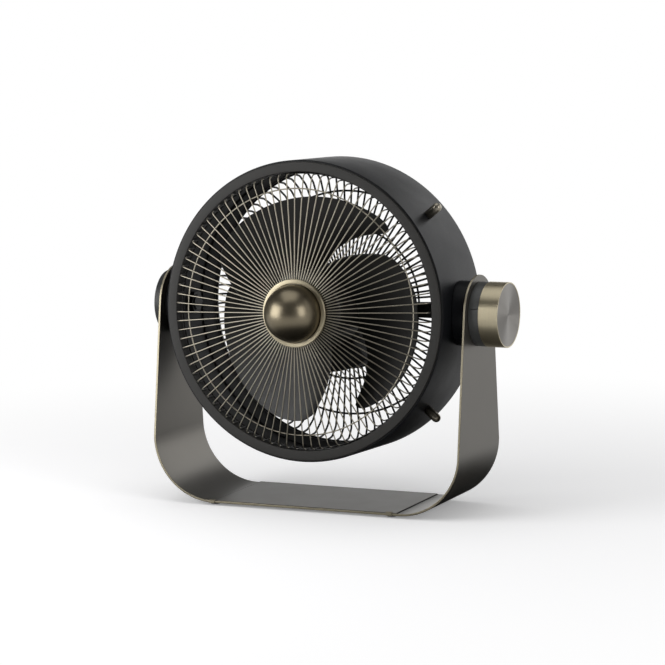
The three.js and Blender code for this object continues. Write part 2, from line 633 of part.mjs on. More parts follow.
// A round-nosed peg with a stud that is riveted through the drum's wall.
function tiltPeg() {
  const base = DRUM_RADIUS + SEAT_GAP;
  const nose = base + PEG_LENGTH - PEG_RADIUS;
  const profile = [
    [0, DRUM_INNER - PEG_STUD_REACH], [PEG_STUD_RADIUS, DRUM_INNER - PEG_STUD_REACH], [PEG_STUD_RADIUS, base],
    [PEG_RADIUS, base],
  ];
  for (let step = 0; step <= 3; step += 1) {
    const angle = step * Math.PI / 6;
    profile.push([step === 3 ? 0 : PEG_RADIUS * Math.cos(angle), nose + PEG_RADIUS * Math.sin(angle)]);
  }
  return turnedX(profile, 12);
}

function drumPieces() {
  const pieces = [
    piece('drum_shell', 'satinBlack', drumShell()),
    piece('front_bezel', 'bezelGrey', frontBezel()),
    piece('rear_ring', 'plastic', rearRing()),
    piece('side_boss_right', 'satinBlack', sideBoss()),
    piece('side_boss_left', 'satinBlack', mirroredX(sideBoss())),
    piece('pivot_tube_right', 'steel', pivotTube()),
    piece('pivot_bolt_left', 'steel', mirroredX(pivotBolt())),
    piece('pivot_nut_right', 'steel', pivotNut()),
    piece('pivot_nut_left', 'steel', mirroredX(pivotNut())),
    piece('boss_nut_right', 'steel', bossNut()),
    piece('boss_nut_left', 'steel', mirroredX(bossNut())),
  ];
  for (const [name, angle] of Object.entries(PEG_ANGLES)) {
    pieces.push(piece(name, 'bronze', raised(tiltPeg(), angle)));
  }
  return pieces;
}

// ---------------------------------------------------------------- grilles

const FRONT_CENTRE_Y = -DRUM_FRONT - GRILLE_BULGE;
const FRONT_SHOULDER_Y = -DRUM_FRONT - GRILLE_SHOULDER_BULGE;
const FRONT_RIM_Y = -DRUM_FRONT + BEZEL_SKIRT_DEPTH - BAND_WIDTH;
const RIM_RADIUS = OPENING_RADIUS - SEAT_GAP - BAND_THICKNESS / 2;
const RIM_WIRE_RADIUS = RIM_RADIUS * Math.cos(Math.PI / DRUM_SIDES);

// A flat-sided wire with the girth of the round one.
const WIRE_CORNER = WIRE_RADIUS * Math.PI / (WIRE_SIDES * Math.sin(Math.PI / WIRE_SIDES));
const WIRE_FLAT = WIRE_CORNER * Math.cos(Math.PI / WIRE_SIDES);

const band = (radius, y) => turned(
  ring(radius - BAND_THICKNESS / 2, radius + BAND_THICKNESS / 2, y - BAND_WIDTH / 2, y + BAND_WIDTH / 2), DRUM_SIDES);

// All the radial wires of one grille, welded to the plate in its middle and to the band round its rim.
function wireGuard(route, centre, rim) {
  const parts = [centre, rim];
  for (let spoke = 0; spoke < WIRE_COUNT; spoke += 1) {
    parts.push(wire(route, WIRE_CORNER, WIRE_SIDES).rotateY(2 * Math.PI * (spoke + 0.5) / WIRE_COUNT));
  }
  return joined(parts);
}

function hoop(radius, y) {
  const section = [];
  for (let corner = 0; corner < WIRE_SIDES; corner += 1) {
    const angle = 2 * Math.PI * corner / WIRE_SIDES;
    section.push([radius + WIRE_CORNER * Math.sin(angle), y + WIRE_CORNER * Math.cos(angle)]);
  }
  return turned(section, HOOP_SEGMENTS);
}

// A flat disc with a screw hole behind the dome, and the wires from its edge to the rim.
const DISC_FRONT_Y = FRONT_CENTRE_Y - CENTRE_DISC_THICKNESS / 2;
const DISC_REAR_Y = FRONT_CENTRE_Y + CENTRE_DISC_THICKNESS / 2;

function frontGrille() {
  const route = [
    [CENTRE_DISC_RADIUS - 2, FRONT_CENTRE_Y],
    [GRILLE_SHOULDER_RADIUS, FRONT_SHOULDER_Y],
    [RIM_WIRE_RADIUS - 0.8, FRONT_SHOULDER_Y + 8],
    [RIM_WIRE_RADIUS, FRONT_RIM_Y],
  ];
  const centre = turned(disc(CENTRE_DISC_RADIUS, DISC_FRONT_Y, DISC_REAR_Y), DRUM_SIDES);
  const screwHole = turned(disc(DOME_SCREW_RADIUS + SEAT_GAP, DISC_FRONT_Y - 1, DISC_REAR_Y + 1), 10);
  return wireGuard(route, cut(centre, [screwHole]), band(RIM_RADIUS, FRONT_RIM_Y));
}

// Where the front wires pass a radius, between the disc and their shoulder.
function frontWireY(radius) {
  const share = (radius - CENTRE_DISC_RADIUS) / (GRILLE_SHOULDER_RADIUS - CENTRE_DISC_RADIUS);
  return THREE.MathUtils.lerp(FRONT_CENTRE_Y, FRONT_SHOULDER_Y, share);
}

const HOOP_OFFSET = 2 * WIRE_FLAT + SEAT_GAP;
const REAR_WIRE_Y = DRUM_REAR + REAR_BULGE;
const REAR_RIM_RADIUS = REAR_OPENING_RADIUS - SEAT_GAP - BAND_THICKNESS / 2;
const REAR_RIM_Y = REAR_FLANGE_Y - 2 * BAND_WIDTH;
const MOTOR_PLATE_FRONT = REAR_WIRE_Y - MOTOR_PLATE_THICKNESS / 2;
const MOTOR_PLATE_REAR = REAR_WIRE_Y + MOTOR_PLATE_THICKNESS / 2;

// The plate in the middle carries the motor, with a collar for its rear bearing.
function rearGrille() {
  const route = [
    [MOTOR_PLATE_RADIUS - 2, REAR_WIRE_Y],
    [REAR_SHOULDER_RADIUS, REAR_WIRE_Y],
    [REAR_RIM_RADIUS, REAR_RIM_Y],
  ];
  const plate = turned(disc(MOTOR_PLATE_RADIUS, MOTOR_PLATE_FRONT, MOTOR_PLATE_REAR), DRUM_SIDES);
  const bayPlate = lowerSector(
    MOTOR_PLATE_RADIUS - 3, CAPACITOR_BAY_REACH + MOTOR_PLATE_MARGIN, MOTOR_PLATE_FRONT, MOTOR_PLATE_REAR, CAPACITOR_BAY_SPREAD + 3);
  const collar = turned(ring(BEARING_SEAT, BEARING_SEAT + 3, REAR_BEARING_Y, MOTOR_PLATE_FRONT + 1), 16);
  return joined([wireGuard(route, plate, band(REAR_RIM_RADIUS, REAR_RIM_Y)), bayPlate, collar]);
}

// The metal ring round the dome, raised on the disc.
function trimRing() {
  const back = DISC_FRONT_Y - SEAT_GAP;
  const front = back - TRIM_RING_HEIGHT;
  const inner = TRIM_RING_RADIUS - TRIM_RING_WIDTH;
  return turned([
    [inner, back], [inner, front], [TRIM_RING_RADIUS - 0.8, front], [TRIM_RING_RADIUS, back],
  ], 32);
}

// A polished bullet-nosed cap with a threaded post inside.
function domeCap() {
  const base = DISC_FRONT_Y - SEAT_GAP;
  const curve = (radius, height, steps) => Array.from({ length: steps + 1 }, (_, step) => {
    const angle = step * Math.PI / 2 / steps;
    return [step === steps ? 0 : radius * Math.cos(angle), base - DOME_COLLAR - height * Math.sin(angle)];
  });
  const outside = curve(DOME_RADIUS, DOME_HEIGHT - DOME_COLLAR, 6);
  const inside = curve(DOME_RADIUS - DOME_WALL, DOME_HEIGHT - DOME_COLLAR - DOME_WALL, 2).slice(0, -1);
  const bore = DOME_SCREW_RADIUS + SEAT_GAP;
  const post = bore + DOME_WALL;
  return turned([
    [0, base - DOME_SCREW_DEPTH], [bore, base - DOME_SCREW_DEPTH], [bore, base], [post, base],
    [post, base - DOME_HEIGHT + DOME_WALL + 1], ...inside.reverse(), [DOME_RADIUS - DOME_WALL, base],
    [DOME_RADIUS, base], ...outside,
  ], 28);
}

function domeScrew() {
  const seat = DISC_REAR_Y + SEAT_GAP;
  const end = DISC_FRONT_Y - DOME_SCREW_DEPTH + 2;
  return turned([
    [0, end], [DOME_SCREW_RADIUS, end], [DOME_SCREW_RADIUS, seat], [2 * DOME_SCREW_RADIUS, seat],
    [2 * DOME_SCREW_RADIUS, seat + 2], [0, seat + 2],
  ], 10);
}

function grillePieces() {
  const pieces = [
    piece('front_grille', 'wire', frontGrille()),
    piece('front_hoop', 'wire', hoop(FRONT_HOOP_RADIUS, frontWireY(FRONT_HOOP_RADIUS) + HOOP_OFFSET)),
    piece('rear_grille', 'darkWire', rearGrille()),
    piece('grille_trim_ring', 'champagne', trimRing()),
    piece('dome_cap', 'bronze', domeCap()),
    piece('dome_screw', 'steel', domeScrew()),
  ];
  for (const [name, share] of Object.entries(REAR_HOOP_SHARES)) {
    const radius = THREE.MathUtils.lerp(MOTOR_PLATE_RADIUS, REAR_SHOULDER_RADIUS, share);
    pieces.push(piece(name, 'darkWire', hoop(radius, REAR_WIRE_Y + HOOP_OFFSET)));
  }
  return pieces;
}

// ---------------------------------------------------------------- motor

const BEARING_SEAT = BEARING_RADIUS + SEAT_GAP;
const FRONT_WALL_REAR = MOTOR_FRONT + BEARING_WIDTH + 3.3;
const FRONT_BEARING_Y = FRONT_WALL_REAR - BEARING_WIDTH - SEAT_GAP;
const REAR_BEARING_Y = MOTOR_PLATE_FRONT - BEARING_WIDTH - SEAT_GAP;
const STATOR_REAR = REAR_BEARING_Y - 2;

// The motor's shell: closed in front with a cup for its bearing, open behind on the plate that carries it. A bay for the
// capacitor hangs under it.
function motorHousing() {
  const rear = MOTOR_PLATE_FRONT - SEAT_GAP;
  const inner = MOTOR_RADIUS - MOTOR_WALL;
  const cup = BEARING_SEAT + 3;
  const wallRear = MOTOR_FRONT + MOTOR_WALL;
  const shell = turned([
    [SHAFT_RADIUS + 1, MOTOR_FRONT], [MOTOR_RADIUS - 4, MOTOR_FRONT], [MOTOR_RADIUS, MOTOR_FRONT + 4],
    [MOTOR_RADIUS, rear], [inner, rear], [inner, wallRear + 4], [inner - 4, wallRear], [cup, wallRear],
    [cup, FRONT_WALL_REAR], [BEARING_SEAT, FRONT_WALL_REAR],
    [BEARING_SEAT, FRONT_BEARING_Y - SEAT_GAP], [SHAFT_RADIUS + 1, FRONT_BEARING_Y - SEAT_GAP],
  ], MOTOR_SIDES);
  const bay = lowerSector(MOTOR_RADIUS - 1.5, CAPACITOR_BAY_REACH, MOTOR_FRONT, rear, CAPACITOR_BAY_SPREAD);
  const room = lowerSector(
    MOTOR_RADIUS + 0.5, CAPACITOR_BAY_REACH - MOTOR_WALL, wallRear, rear + 1, CAPACITOR_BAY_SPREAD - 4);
  return cut(joined([shell, bay]), [room]);
}

function motorCover() {
  const base = MOTOR_PLATE_REAR + SEAT_GAP;
  const top = base + MOTOR_COVER_HEIGHT;
  const outer = MOTOR_COVER_RADIUS;
  return turned([
    [0, base], [outer, base], [outer, top - 8], [outer - 6, top - 3], [outer / 2, top - 0.8], [0, top],
  ], MOTOR_SIDES);
}

const statorCore = () => turned(
  ring(MAGNET_RADIUS + 1, MOTOR_RADIUS - MOTOR_WALL - SEAT_GAP, STATOR_REAR - STATOR_LENGTH, STATOR_REAR), MOTOR_SIDES);

const bearing = (y) => turned(ring(SHAFT_RADIUS + RUNNING_GAP, BEARING_RADIUS, y, y + BEARING_WIDTH), 14);

// The channel that takes the wires from the right pivot to the motor.
function cableDuct() {
  const channel = block(
    [MOTOR_RADIUS - 6, DUCT_FRONT, -DUCT_WIDTH / 2], [PIVOT_START_X - SEAT_GAP, DUCT_FRONT + DUCT_DEPTH, DUCT_WIDTH / 2]);
  const motor = turned(disc(MOTOR_RADIUS + SEAT_GAP, DUCT_FRONT - 1, DUCT_FRONT + DUCT_DEPTH + 1), MOTOR_SIDES);
  return cut(channel, [motor]);
}

function motorPieces() {
  return [
    piece('motor_housing', 'satinBlack', motorHousing()),
    piece('motor_cover', 'plastic', motorCover()),
    piece('stator_core', 'copper', statorCore()),
    piece('bearing_front', 'steel', bearing(FRONT_BEARING_Y)),
    piece('bearing_rear', 'steel', bearing(REAR_BEARING_Y)),
    piece('cable_duct', 'plastic', cableDuct()),
  ];
}

// ---------------------------------------------------------------- blade wheel

// Angles in degrees, clockwise from the top as seen from the front, of the first blade's edges at a radius.
const leadingAngle = (radius) => -2 + 0.65 * (radius - HUB_RADIUS);
const trailingAngle = (radius) => -99.5 + 0.6 * (radius - HUB_RADIUS) - 0.0014 * (radius - HUB_RADIUS) ** 2;

// The tip's outline: it falls in towards the leading edge, with a round corner at each end.
function tipRadius(chord) {
  const round = (share, depth) => depth * (1 - Math.sqrt(Math.max(0, 1 - share * share)));
  const trailing = round(Math.max(0, 1 - chord / 0.22), 14);
  const leading = round(Math.max(0, (chord - 0.85) / 0.15), 14);
  return BLADE_TIP_RADIUS - BLADE_TIP_FALL * chord - trailing - leading;
}

// A broad forward-swept blade, cambered between its leading edge at the rear and its trailing edge in front.
function blade() {
  const chords = [0, 0.04, 0.12, 0.22, 0.42, 0.64, 0.86, 0.96, 1];
  const spans = [0, 0.35, 0.7, 1];
  const rootRadius = HUB_RADIUS - HUB_WALL / 2;
  const surface = (chord, span, offset) => {
    const radius = THREE.MathUtils.lerp(rootRadius, tipRadius(chord), span);
    const angle = degrees(THREE.MathUtils.lerp(trailingAngle(radius), leadingAngle(radius), chord));
    const y = THREE.MathUtils.lerp(BLADE_TRAILING_Y, BLADE_LEADING_Y, chord ** 0.8) + offset;
    return [radius * Math.sin(angle), y, radius * Math.cos(angle)];
  };
  const positions = [];
  for (const span of spans) {
    for (const chord of chords) positions.push(...surface(chord, span, -BLADE_THICKNESS / 2));
    for (const chord of [...chords].reverse()) positions.push(...surface(chord, span, BLADE_THICKNESS / 2));
  }
  const perRing = 2 * chords.length;
  return stripCapped(lofted(positions, perRing, spans.length), chords.length, perRing, spans.length);
}

// Replaces the fans that close a loft of thin rings by strips between the two faces of the blade.
function stripCapped(geometry, perFace, perRing, rings) {
  const sideCount = (rings - 1) * perRing * 6;
  const index = Array.from(geometry.index.array).slice(0, sideCount);
  for (const [start, flip] of [[0, false], [(rings - 1) * perRing, true]]) {
    for (let i = 0; i < perFace - 1; i += 1) {
      const [a, b] = [start + i, start + i + 1];
      const [c, d] = [start + perRing - 2 - i, start + perRing - 1 - i];
      if (flip) index.push(a, b, c, a, c, d);
      else index.push(a, c, b, a, d, c);
    }
  }
  geometry.setIndex(index);
  return geometry;
}

function bladeWheel() {
  const bore = SHAFT_RADIUS + SEAT_GAP;
  const hub = turned([
    [bore, HUB_FRONT], [HUB_RADIUS - 4, HUB_FRONT], [HUB_RADIUS, HUB_FRONT + 4], [HUB_RADIUS, HUB_REAR],
    [HUB_RADIUS - HUB_WALL, HUB_REAR], [HUB_RADIUS - HUB_WALL, HUB_FRONT + 4], [HUB_SLEEVE_RADIUS, HUB_FRONT + 4],
    [HUB_SLEEVE_RADIUS, HUB_SLEEVE_REAR], [bore, HUB_SLEEVE_REAR],
  ], MOTOR_SIDES);
  const blades = Array.from({ length: BLADE_COUNT }, (_, number) => (
    blade().rotateY(2 * Math.PI * number / BLADE_COUNT)));
  return joined([hub, ...blades]);
}

const NUT_THICKNESS = 6;
const SHAFT_FRONT = HUB_FRONT - SEAT_GAP - NUT_THICKNESS - 1.5;
const PIN_RADIUS = 1.5;
const PIN_Y = HUB_SLEEVE_REAR + SEAT_GAP + PIN_RADIUS;

const crossPin = (radius, halfLength) => turnedX(disc(radius, -halfLength, halfLength), 8).translate(0, PIN_Y, 0);

const motorShaft = () => cut(
  turned(disc(SHAFT_RADIUS, SHAFT_FRONT, REAR_BEARING_Y + BEARING_WIDTH), 14), [crossPin(PIN_RADIUS + 0.25, 8)]);

function rotorPieces() {
  return [
    piece('blade_wheel', 'blade', bladeWheel()),
    piece('motor_shaft', 'steel', motorShaft()),
    piece('blade_nut', 'steel', hexNut(8, SHAFT_RADIUS + SEAT_GAP, HUB_FRONT - SEAT_GAP - NUT_THICKNESS, HUB_FRONT - SEAT_GAP)),
    piece('drive_pin', 'steel', crossPin(PIN_RADIUS, HUB_SLEEVE_RADIUS)),
    piece('magnet_rotor', 'steel', turned(
      ring(SHAFT_RADIUS + SEAT_GAP, MAGNET_RADIUS, STATOR_REAR - STATOR_LENGTH + 1, STATOR_REAR - 1), 20)),
  ];
}

// ---------------------------------------------------------------- assembly

const onPivot = new THREE.Group();
onPivot.position.z = PIVOT_HEIGHT;
onPivot.add(...armPieces(), ...knobPieces());

const head = new THREE.Group();
head.position.z = PIVOT_HEIGHT;
head.rotation.x = degrees(HEAD_TILT);
head.add(...drumPieces(), ...grillePieces(), ...motorPieces(), ...rotorPieces());

const fan = new THREE.Group();
fan.add(...standPieces(), onPivot, head);

// The origin is on the floor, under the middle of the whole fan.
const middle = new THREE.Box3().setFromObject(fan, true).getCenter(new THREE.Vector3());
fan.position.set(-middle.x, -middle.y, 0);

export default fan;
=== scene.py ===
"""Drum air circulator fan on a bent yoke: fine surfaces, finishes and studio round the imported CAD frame.

Lengths are in metres, or in millimetres where a comment or docstring says so. A profile or route is a list of (radius,
along) points in millimetres, out from an axis and along it.
"""

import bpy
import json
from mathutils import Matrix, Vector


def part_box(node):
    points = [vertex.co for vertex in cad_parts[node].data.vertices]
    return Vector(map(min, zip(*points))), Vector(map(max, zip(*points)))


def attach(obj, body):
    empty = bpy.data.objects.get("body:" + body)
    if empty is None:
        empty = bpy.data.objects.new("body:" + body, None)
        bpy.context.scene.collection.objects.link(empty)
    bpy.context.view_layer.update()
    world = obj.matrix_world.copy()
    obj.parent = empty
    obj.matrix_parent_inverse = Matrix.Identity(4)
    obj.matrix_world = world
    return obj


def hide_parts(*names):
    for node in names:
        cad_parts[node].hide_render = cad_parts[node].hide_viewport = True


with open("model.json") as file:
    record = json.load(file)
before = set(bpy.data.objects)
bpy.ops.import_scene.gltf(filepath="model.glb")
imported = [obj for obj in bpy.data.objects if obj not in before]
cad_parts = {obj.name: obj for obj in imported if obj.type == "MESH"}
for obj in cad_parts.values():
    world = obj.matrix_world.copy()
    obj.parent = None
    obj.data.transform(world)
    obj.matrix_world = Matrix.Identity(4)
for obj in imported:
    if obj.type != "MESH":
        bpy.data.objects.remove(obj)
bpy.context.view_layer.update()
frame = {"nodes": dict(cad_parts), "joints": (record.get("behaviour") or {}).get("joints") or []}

import json
import math

import bmesh
import bpy
from bpy.props import FloatProperty, FloatVectorProperty, IntProperty, PointerProperty
from mathutils import Matrix, Vector

bl_info = {
    "name": "Drum Fan Dressing",
    "version": (1, 0, 0),
    "blender": (4, 5, 0),
    "location": "View3D > Sidebar > Drum Fan",
    "description": "Builds the fine pieces, finishes and studio of a drum air circulator fan round its CAD frame",
    "category": "Object",
}

# ---- places and shared sizes

MM = 0.001
SAME_PLACE = 1e-6  # vertices this close are one
SHARP_EDGE = math.radians(30)  # edges that turn by more are rounded

# In millimetres: the gap between neighbouring pieces, half the thickness of the plate in the middle of each grille, the
# bore and outer radius of the bearing seats, and the reach of the bay under the motor, whose spread is in degrees.
GAP = 0.3
HALF_PLATE = 1.5
SEAT_BORE, SEAT_RADIUS = 11.3, 14.3
BAY_REACH, BAY_SPREAD = 75, 80

JOINTS = {joint["name"]: joint for joint in frame["joints"]}
PIVOT = Vector(JOINTS["tilt"]["pos_m"])
BLOWS = Vector(JOINTS["fan_spin"]["axis"])
LEAN = math.atan2(BLOWS.z, -BLOWS.y)

UNDER_PIVOT = Matrix.Translation((PIVOT.x, PIVOT.y, 0))
ALONG_X = Matrix.Rotation(math.pi / 2, 4, "Y")
ALONG_Y = Matrix.Rotation(-math.pi / 2, 4, "X")
ON_ARMS = Matrix.Translation(PIVOT) @ ALONG_X
IN_HEAD = Matrix.Translation(PIVOT) @ Matrix.Rotation(-LEAN, 4, "X")
ON_DRUM_AXIS = IN_HEAD @ ALONG_Y


def reach_along_x(node):
    """Where a CAD node starts and ends along X, in millimetres from the pivot."""
    low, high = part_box(node)
    return (low.x - PIVOT.x) / MM, (high.x - PIVOT.x) / MM


def linear(hex_colour):
    """An sRGB hex colour as linear red, green and blue."""
    shares = [int(hex_colour[i : i + 2], 16) / 255 for i in (1, 3, 5)]
    return tuple(s / 12.92 if s <= 0.04045 else ((s + 0.055) / 1.055) ** 2.4 for s in shares)


def length(name, description, millimetres):
    """A length property, written in millimetres and kept in metres."""
    return FloatProperty(
        name=name, description=description, default=millimetres * MM, unit="LENGTH", subtype="DISTANCE", precision=5
    )


def turn(name, description, degrees):
    """An angle property, written in degrees and kept in radians."""
    return FloatProperty(
        name=name, description=description, default=math.radians(degrees), unit="ROTATION", subtype="ANGLE"
    )


def colour(name, description, hex_colour):
    """A colour property from an sRGB hex colour."""
    return FloatVectorProperty(
        name=name, description=description, default=linear(hex_colour), subtype="COLOR", min=0, max=1
    )


# ---- sizes and colours


class FanYokeSizes(bpy.types.PropertyGroup):
    """The bent strap, its cover and its feet."""

    half_span: length("Half Span", "From the drum's middle to the outer face of an arm", 189.4)
    thickness: length("Thickness", "Of the strap", 2.6)
    bend_radius: length("Bend Radius", "Of the strap's outer face", 73.5)
    top_radius: length("Arm Top Radius", "Of the round top of each arm", 43.65)
    front_reach: length("Front Reach", "Of the base, ahead of the pivots", 64.4)
    rear_reach: length("Rear Reach", "Of the base, behind the pivots", 57.5)
    foot_height: length("Foot Height", "From the floor to the strap", 3.2)
    foot_radius: length("Foot Radius", "Of each rubber foot", 6.5)
    # Width of a dark strip of painted shade at each end of the base cover, not a real seal.
    shade_strip_width: length("Seam Width", "Of the dark seal at each end of the base cover", 1.3)
    edge_round: length("Edge Round", "Of the strap's cut edges", 0.45)


class FanDrumSizes(bpy.types.PropertyGroup):
    """The drum's shell, front ring and rear ring."""

    radius: length("Radius", "Of the drum's outer wall", 170)
    wall: length("Wall", "Thickness of the shell", 2)
    front: length("Front", "From the pivot axis to the face of the front ring", 62)
    rear: length("Rear", "From the pivot axis to the rear edge", 53.5)
    opening: length("Opening Radius", "Clear radius of the front opening", 156.8)
    rear_opening: length("Rear Opening Radius", "Clear radius of the rear opening", 161)
    face_radius: length("Face Radius", "Outer radius of the front ring's face", 167.9)
    steps: IntProperty(name="Steps", description="Faces round the drum", default=184, min=46)


class FanGrilleSizes(bpy.types.PropertyGroup):
    """The wire grilles and the cap in their middle."""

    wires: IntProperty(name="Wires", description="Radial wires in each grille", default=92, min=12)
    wire_radius: length("Wire Radius", "Of the front grille's wires", 0.75)
    rear_wire_radius: length("Rear Wire Radius", "Of the rear grille's coated wires", 1.2)
    rim_wire_radius: length("Rim Wire Radius", "Of the ring that the wires end on", 1.15)
    disc_radius: length("Disc Radius", "Of the disc in the middle of the front grille", 37)
    front_centre: length("Front Centre", "From the pivot axis to the middle of that disc", 78.6)
    plate_radius: length("Plate Radius", "Of the motor plate in the rear grille", 50.6)
    rear_plane: length("Rear Plane", "From the pivot axis to the rear wires", 65.2)
    dome_radius: length("Cap Radius", "Of the round-nosed centre cap", 32.5)
    dome_height: length("Cap Height", "Of the centre cap", 39)


class FanBladeSizes(bpy.types.PropertyGroup):
    """The blade wheel."""

    blades: IntProperty(name="Blades", description="Number of blades", default=3, min=2)
    tip_radius: length("Tip Radius", "Of the blade circle", 131)
    tip_fall: length("Tip Fall", "Of a tip's outline towards the leading edge", 8)
    hub_radius: length("Hub Radius", "Of the hub", 46)
    thickness: length("Thickness", "Of a blade", 2.2)
    trailing: length("Trailing Edge", "From the pivot axis forward to the trailing edge", 54)
    leading: length("Leading Edge", "From the pivot axis back to the leading edge", 4)
    hub_front: length("Hub Front", "From the pivot axis forward to the hub's face", 58)
    hub_rear: length("Hub Rear", "From the pivot axis back to the hub's rear edge", 5.5)


class FanFittingSizes(bpy.types.PropertyGroup):
    """The bosses, the control housing, the knob and the tilt pegs."""

    boss_radius: length("Boss Radius", "Of the boss on each side of the drum", 36.5)
    housing_radius: length("Housing Radius", "Of the control housing", 36)
    knob_radius: length("Knob Radius", "Of the speed knob and the left cap", 36.5)
    index_angle: turn("Index Angle", "Of the index line above the horizontal, at the front", 16)
    peg_radius: length("Peg Radius", "Of each tilt peg", 5.2)
    peg_length: length("Peg Length", "Of a tilt peg, proud of the drum", 19.4)
    peg_angle: turn("Peg Angle", "Of the pegs above and below the horizontal", 39.7)


class FanColours(bpy.types.PropertyGroup):
    """The colours of the finishes."""

    strap: colour("Strap Paint", "Satin metallic paint on the yoke", "#68655F")
    edge: colour("Champagne Edge", "Anodised trim along the strap's edges, and the clips", "#A9A18C")
    drum: colour("Drum Enamel", "Satin near-black enamel on the drum and its bosses", "#141517")
    bezel: colour("Ring Enamel", "Satin dark grey enamel on the front ring", "#292826")
    wire: colour("Plated Wire", "Champagne plating of the front grille and the pegs", "#A09A8C")
    # The front wires' ends and rim ring take this colour as painted shade, not as a coating.
    dark_wire: colour("Coated Wire", "Dark coating on the rear grille and the front wires' ends", "#1A1917")
    bronze: colour("Satin Bronze", "Bronze plating of the centre cap", "#857C69")
    knob: colour("Champagne Aluminium", "Brushed and anodised knob and centre ring", "#C0B69C")
    knob_face: colour("Knob Face", "Clear anodised aluminium of the knob's turned face", "#8A8783")
    plastic: colour("Black Plastic", "Moulded left cap, duct, washers and motor cover", "#1E2020")
    housing: colour("Grey Plastic", "Moulded control housing", "#3B3C3B")
    blade: colour("Blade Plastic", "Satin moulded blades", "#191816")
    floor: colour("Floor", "Pale studio floor", "#F4F4F5")


class FanStudioSizes(bpy.types.PropertyGroup):
    """The camera and the lamps."""

    azimuth: turn("Azimuth", "Of the camera, from the front towards the knob", 24.38)
    elevation: turn("Elevation", "Of the camera", 7.91)
    roll: turn("Roll", "Of the camera", -0.94)
    distance: length("Distance", "From the camera to the point that it looks at", 3371.15)
    lens: FloatProperty(name="Lens", description="Focal length in millimetres on a 36 mm sensor", default=160.29)
    side_lamps: FloatProperty(
        name="Side Lamps", description="Radiance of the left box; the right is a quarter weaker", default=4.0, min=0
    )
    top_lamp: FloatProperty(name="Top Lamp", description="Radiance of the overhead soft box", default=1.0, min=0)
    room: FloatProperty(name="Room", description="Strength of the room's even light", default=0.37, min=0)


# ---- finishes

SMOOTH = {"interpolation_type": "SMOOTHSTEP"}


def add_node(tree, kind, inputs=None, **settings):
    """Adds a shader node, sets its own settings, then sets or links its inputs. A node given as a value stands for its
    first output."""
    node = tree.nodes.new("ShaderNode" + kind)
    for name, value in settings.items():
        setattr(node, name, value)
    for name, value in (inputs or {}).items():
        if isinstance(value, bpy.types.Node):
            value = value.outputs[0]
        if isinstance(value, bpy.types.NodeSocket):
            tree.links.new(value, node.inputs[name])
        else:
            node.inputs[name].default_value = value
    return node


def new_material(name):
    """An empty node material."""
    material = bpy.data.materials.new(name)
    material.use_nodes = True
    material.node_tree.nodes.clear()
    return material


def patterned(material, blend, tones, glosses, relief, rgb, spread, roughness, bump, **shader):
    """Ends a material. The blend varies the colour, over the tones' two ends, and the roughness, over the glosses'. The
    relief raises the surface by bump millimetres."""
    tree = material.node_tree
    dark, light = ([min(1.0, channel * (1 + way * spread)) for channel in rgb] + [1.0] for way in (-1, 1))
    share = add_node(tree, "MapRange", {"Value": blend, "From Min": tones[0], "From Max": tones[1]})
    tint = add_node(tree, "Mix", {0: share, 6: dark, 7: light}, data_type="RGBA")
    gloss_ends = {"From Min": glosses[0], "From Max": glosses[1], "To Min": roughness[0], "To Max": roughness[1]}
    rough = add_node(tree, "MapRange", {"Value": blend, **gloss_ends})
    raised = add_node(tree, "Bump", {"Height": relief, "Distance": bump * MM, "Strength": 1.0})
    inputs = {"Base Color": tint.outputs[2], "Roughness": rough, "Normal": raised, **shader}
    add_node(tree, "OutputMaterial", {"Surface": add_node(tree, "BsdfPrincipled", inputs)})
    return material


def coated(name, rgb, grain, roughness, bump, spread=0.05, cloud=28, **shader):
    """A surface of fine even grain in broad clouds: grain and cloud are sizes and bump a height, all in millimetres.
    Roughness has two ends, and spread is how far the colour varies."""
    material = new_material(name)
    tree = material.node_tree
    place = add_node(tree, "TexCoord").outputs["Object"]
    fine = add_node(tree, "TexNoise", {"Vector": place, "Scale": 1000 / grain, "Detail": 3.0, "Roughness": 0.55})
    broad = add_node(tree, "TexNoise", {"Vector": place, "Scale": 1000 / cloud, "Detail": 2.0})
    blend = add_node(tree, "Math", {0: fine, 1: broad}, operation="ADD")
    tones, glosses = (0.7, 1.3), (0.6, 1.4)
    return patterned(material, blend, tones, glosses, fine, rgb, spread, roughness, bump, **shader)


def spun(name, rgb, pitch, roughness, bump, spread, anisotropic):
    """A metal with fine lines round its axis, pitch millimetres apart. Lines and tangent follow the piece's own UV map,
    whose U runs round the axis and whose V runs along the profile in metres. The gloss spreads across the lines."""
    material = new_material(name)
    tree = material.node_tree
    route = add_node(tree, "UVMap", uv_map="Turned")
    streaks = 6
    stretched = add_node(tree, "Mapping", {"Vector": route, "Scale": (streaks, 1000 / pitch, 1)})
    lines = add_node(tree, "TexNoise", {"Vector": stretched, "Scale": 1.0, "Detail": 4.0, "Roughness": 0.65})
    tangent = add_node(tree, "Tangent", direction_type="UV_MAP", uv_map="Turned")
    across = {"Metallic": 1.0, "Anisotropic": anisotropic, "Anisotropic Rotation": 0.25, "Tangent": tangent}
    ends = (0.3, 0.7)
    return patterned(material, lines, ends, ends, lines, rgb, spread, roughness, bump, **across)


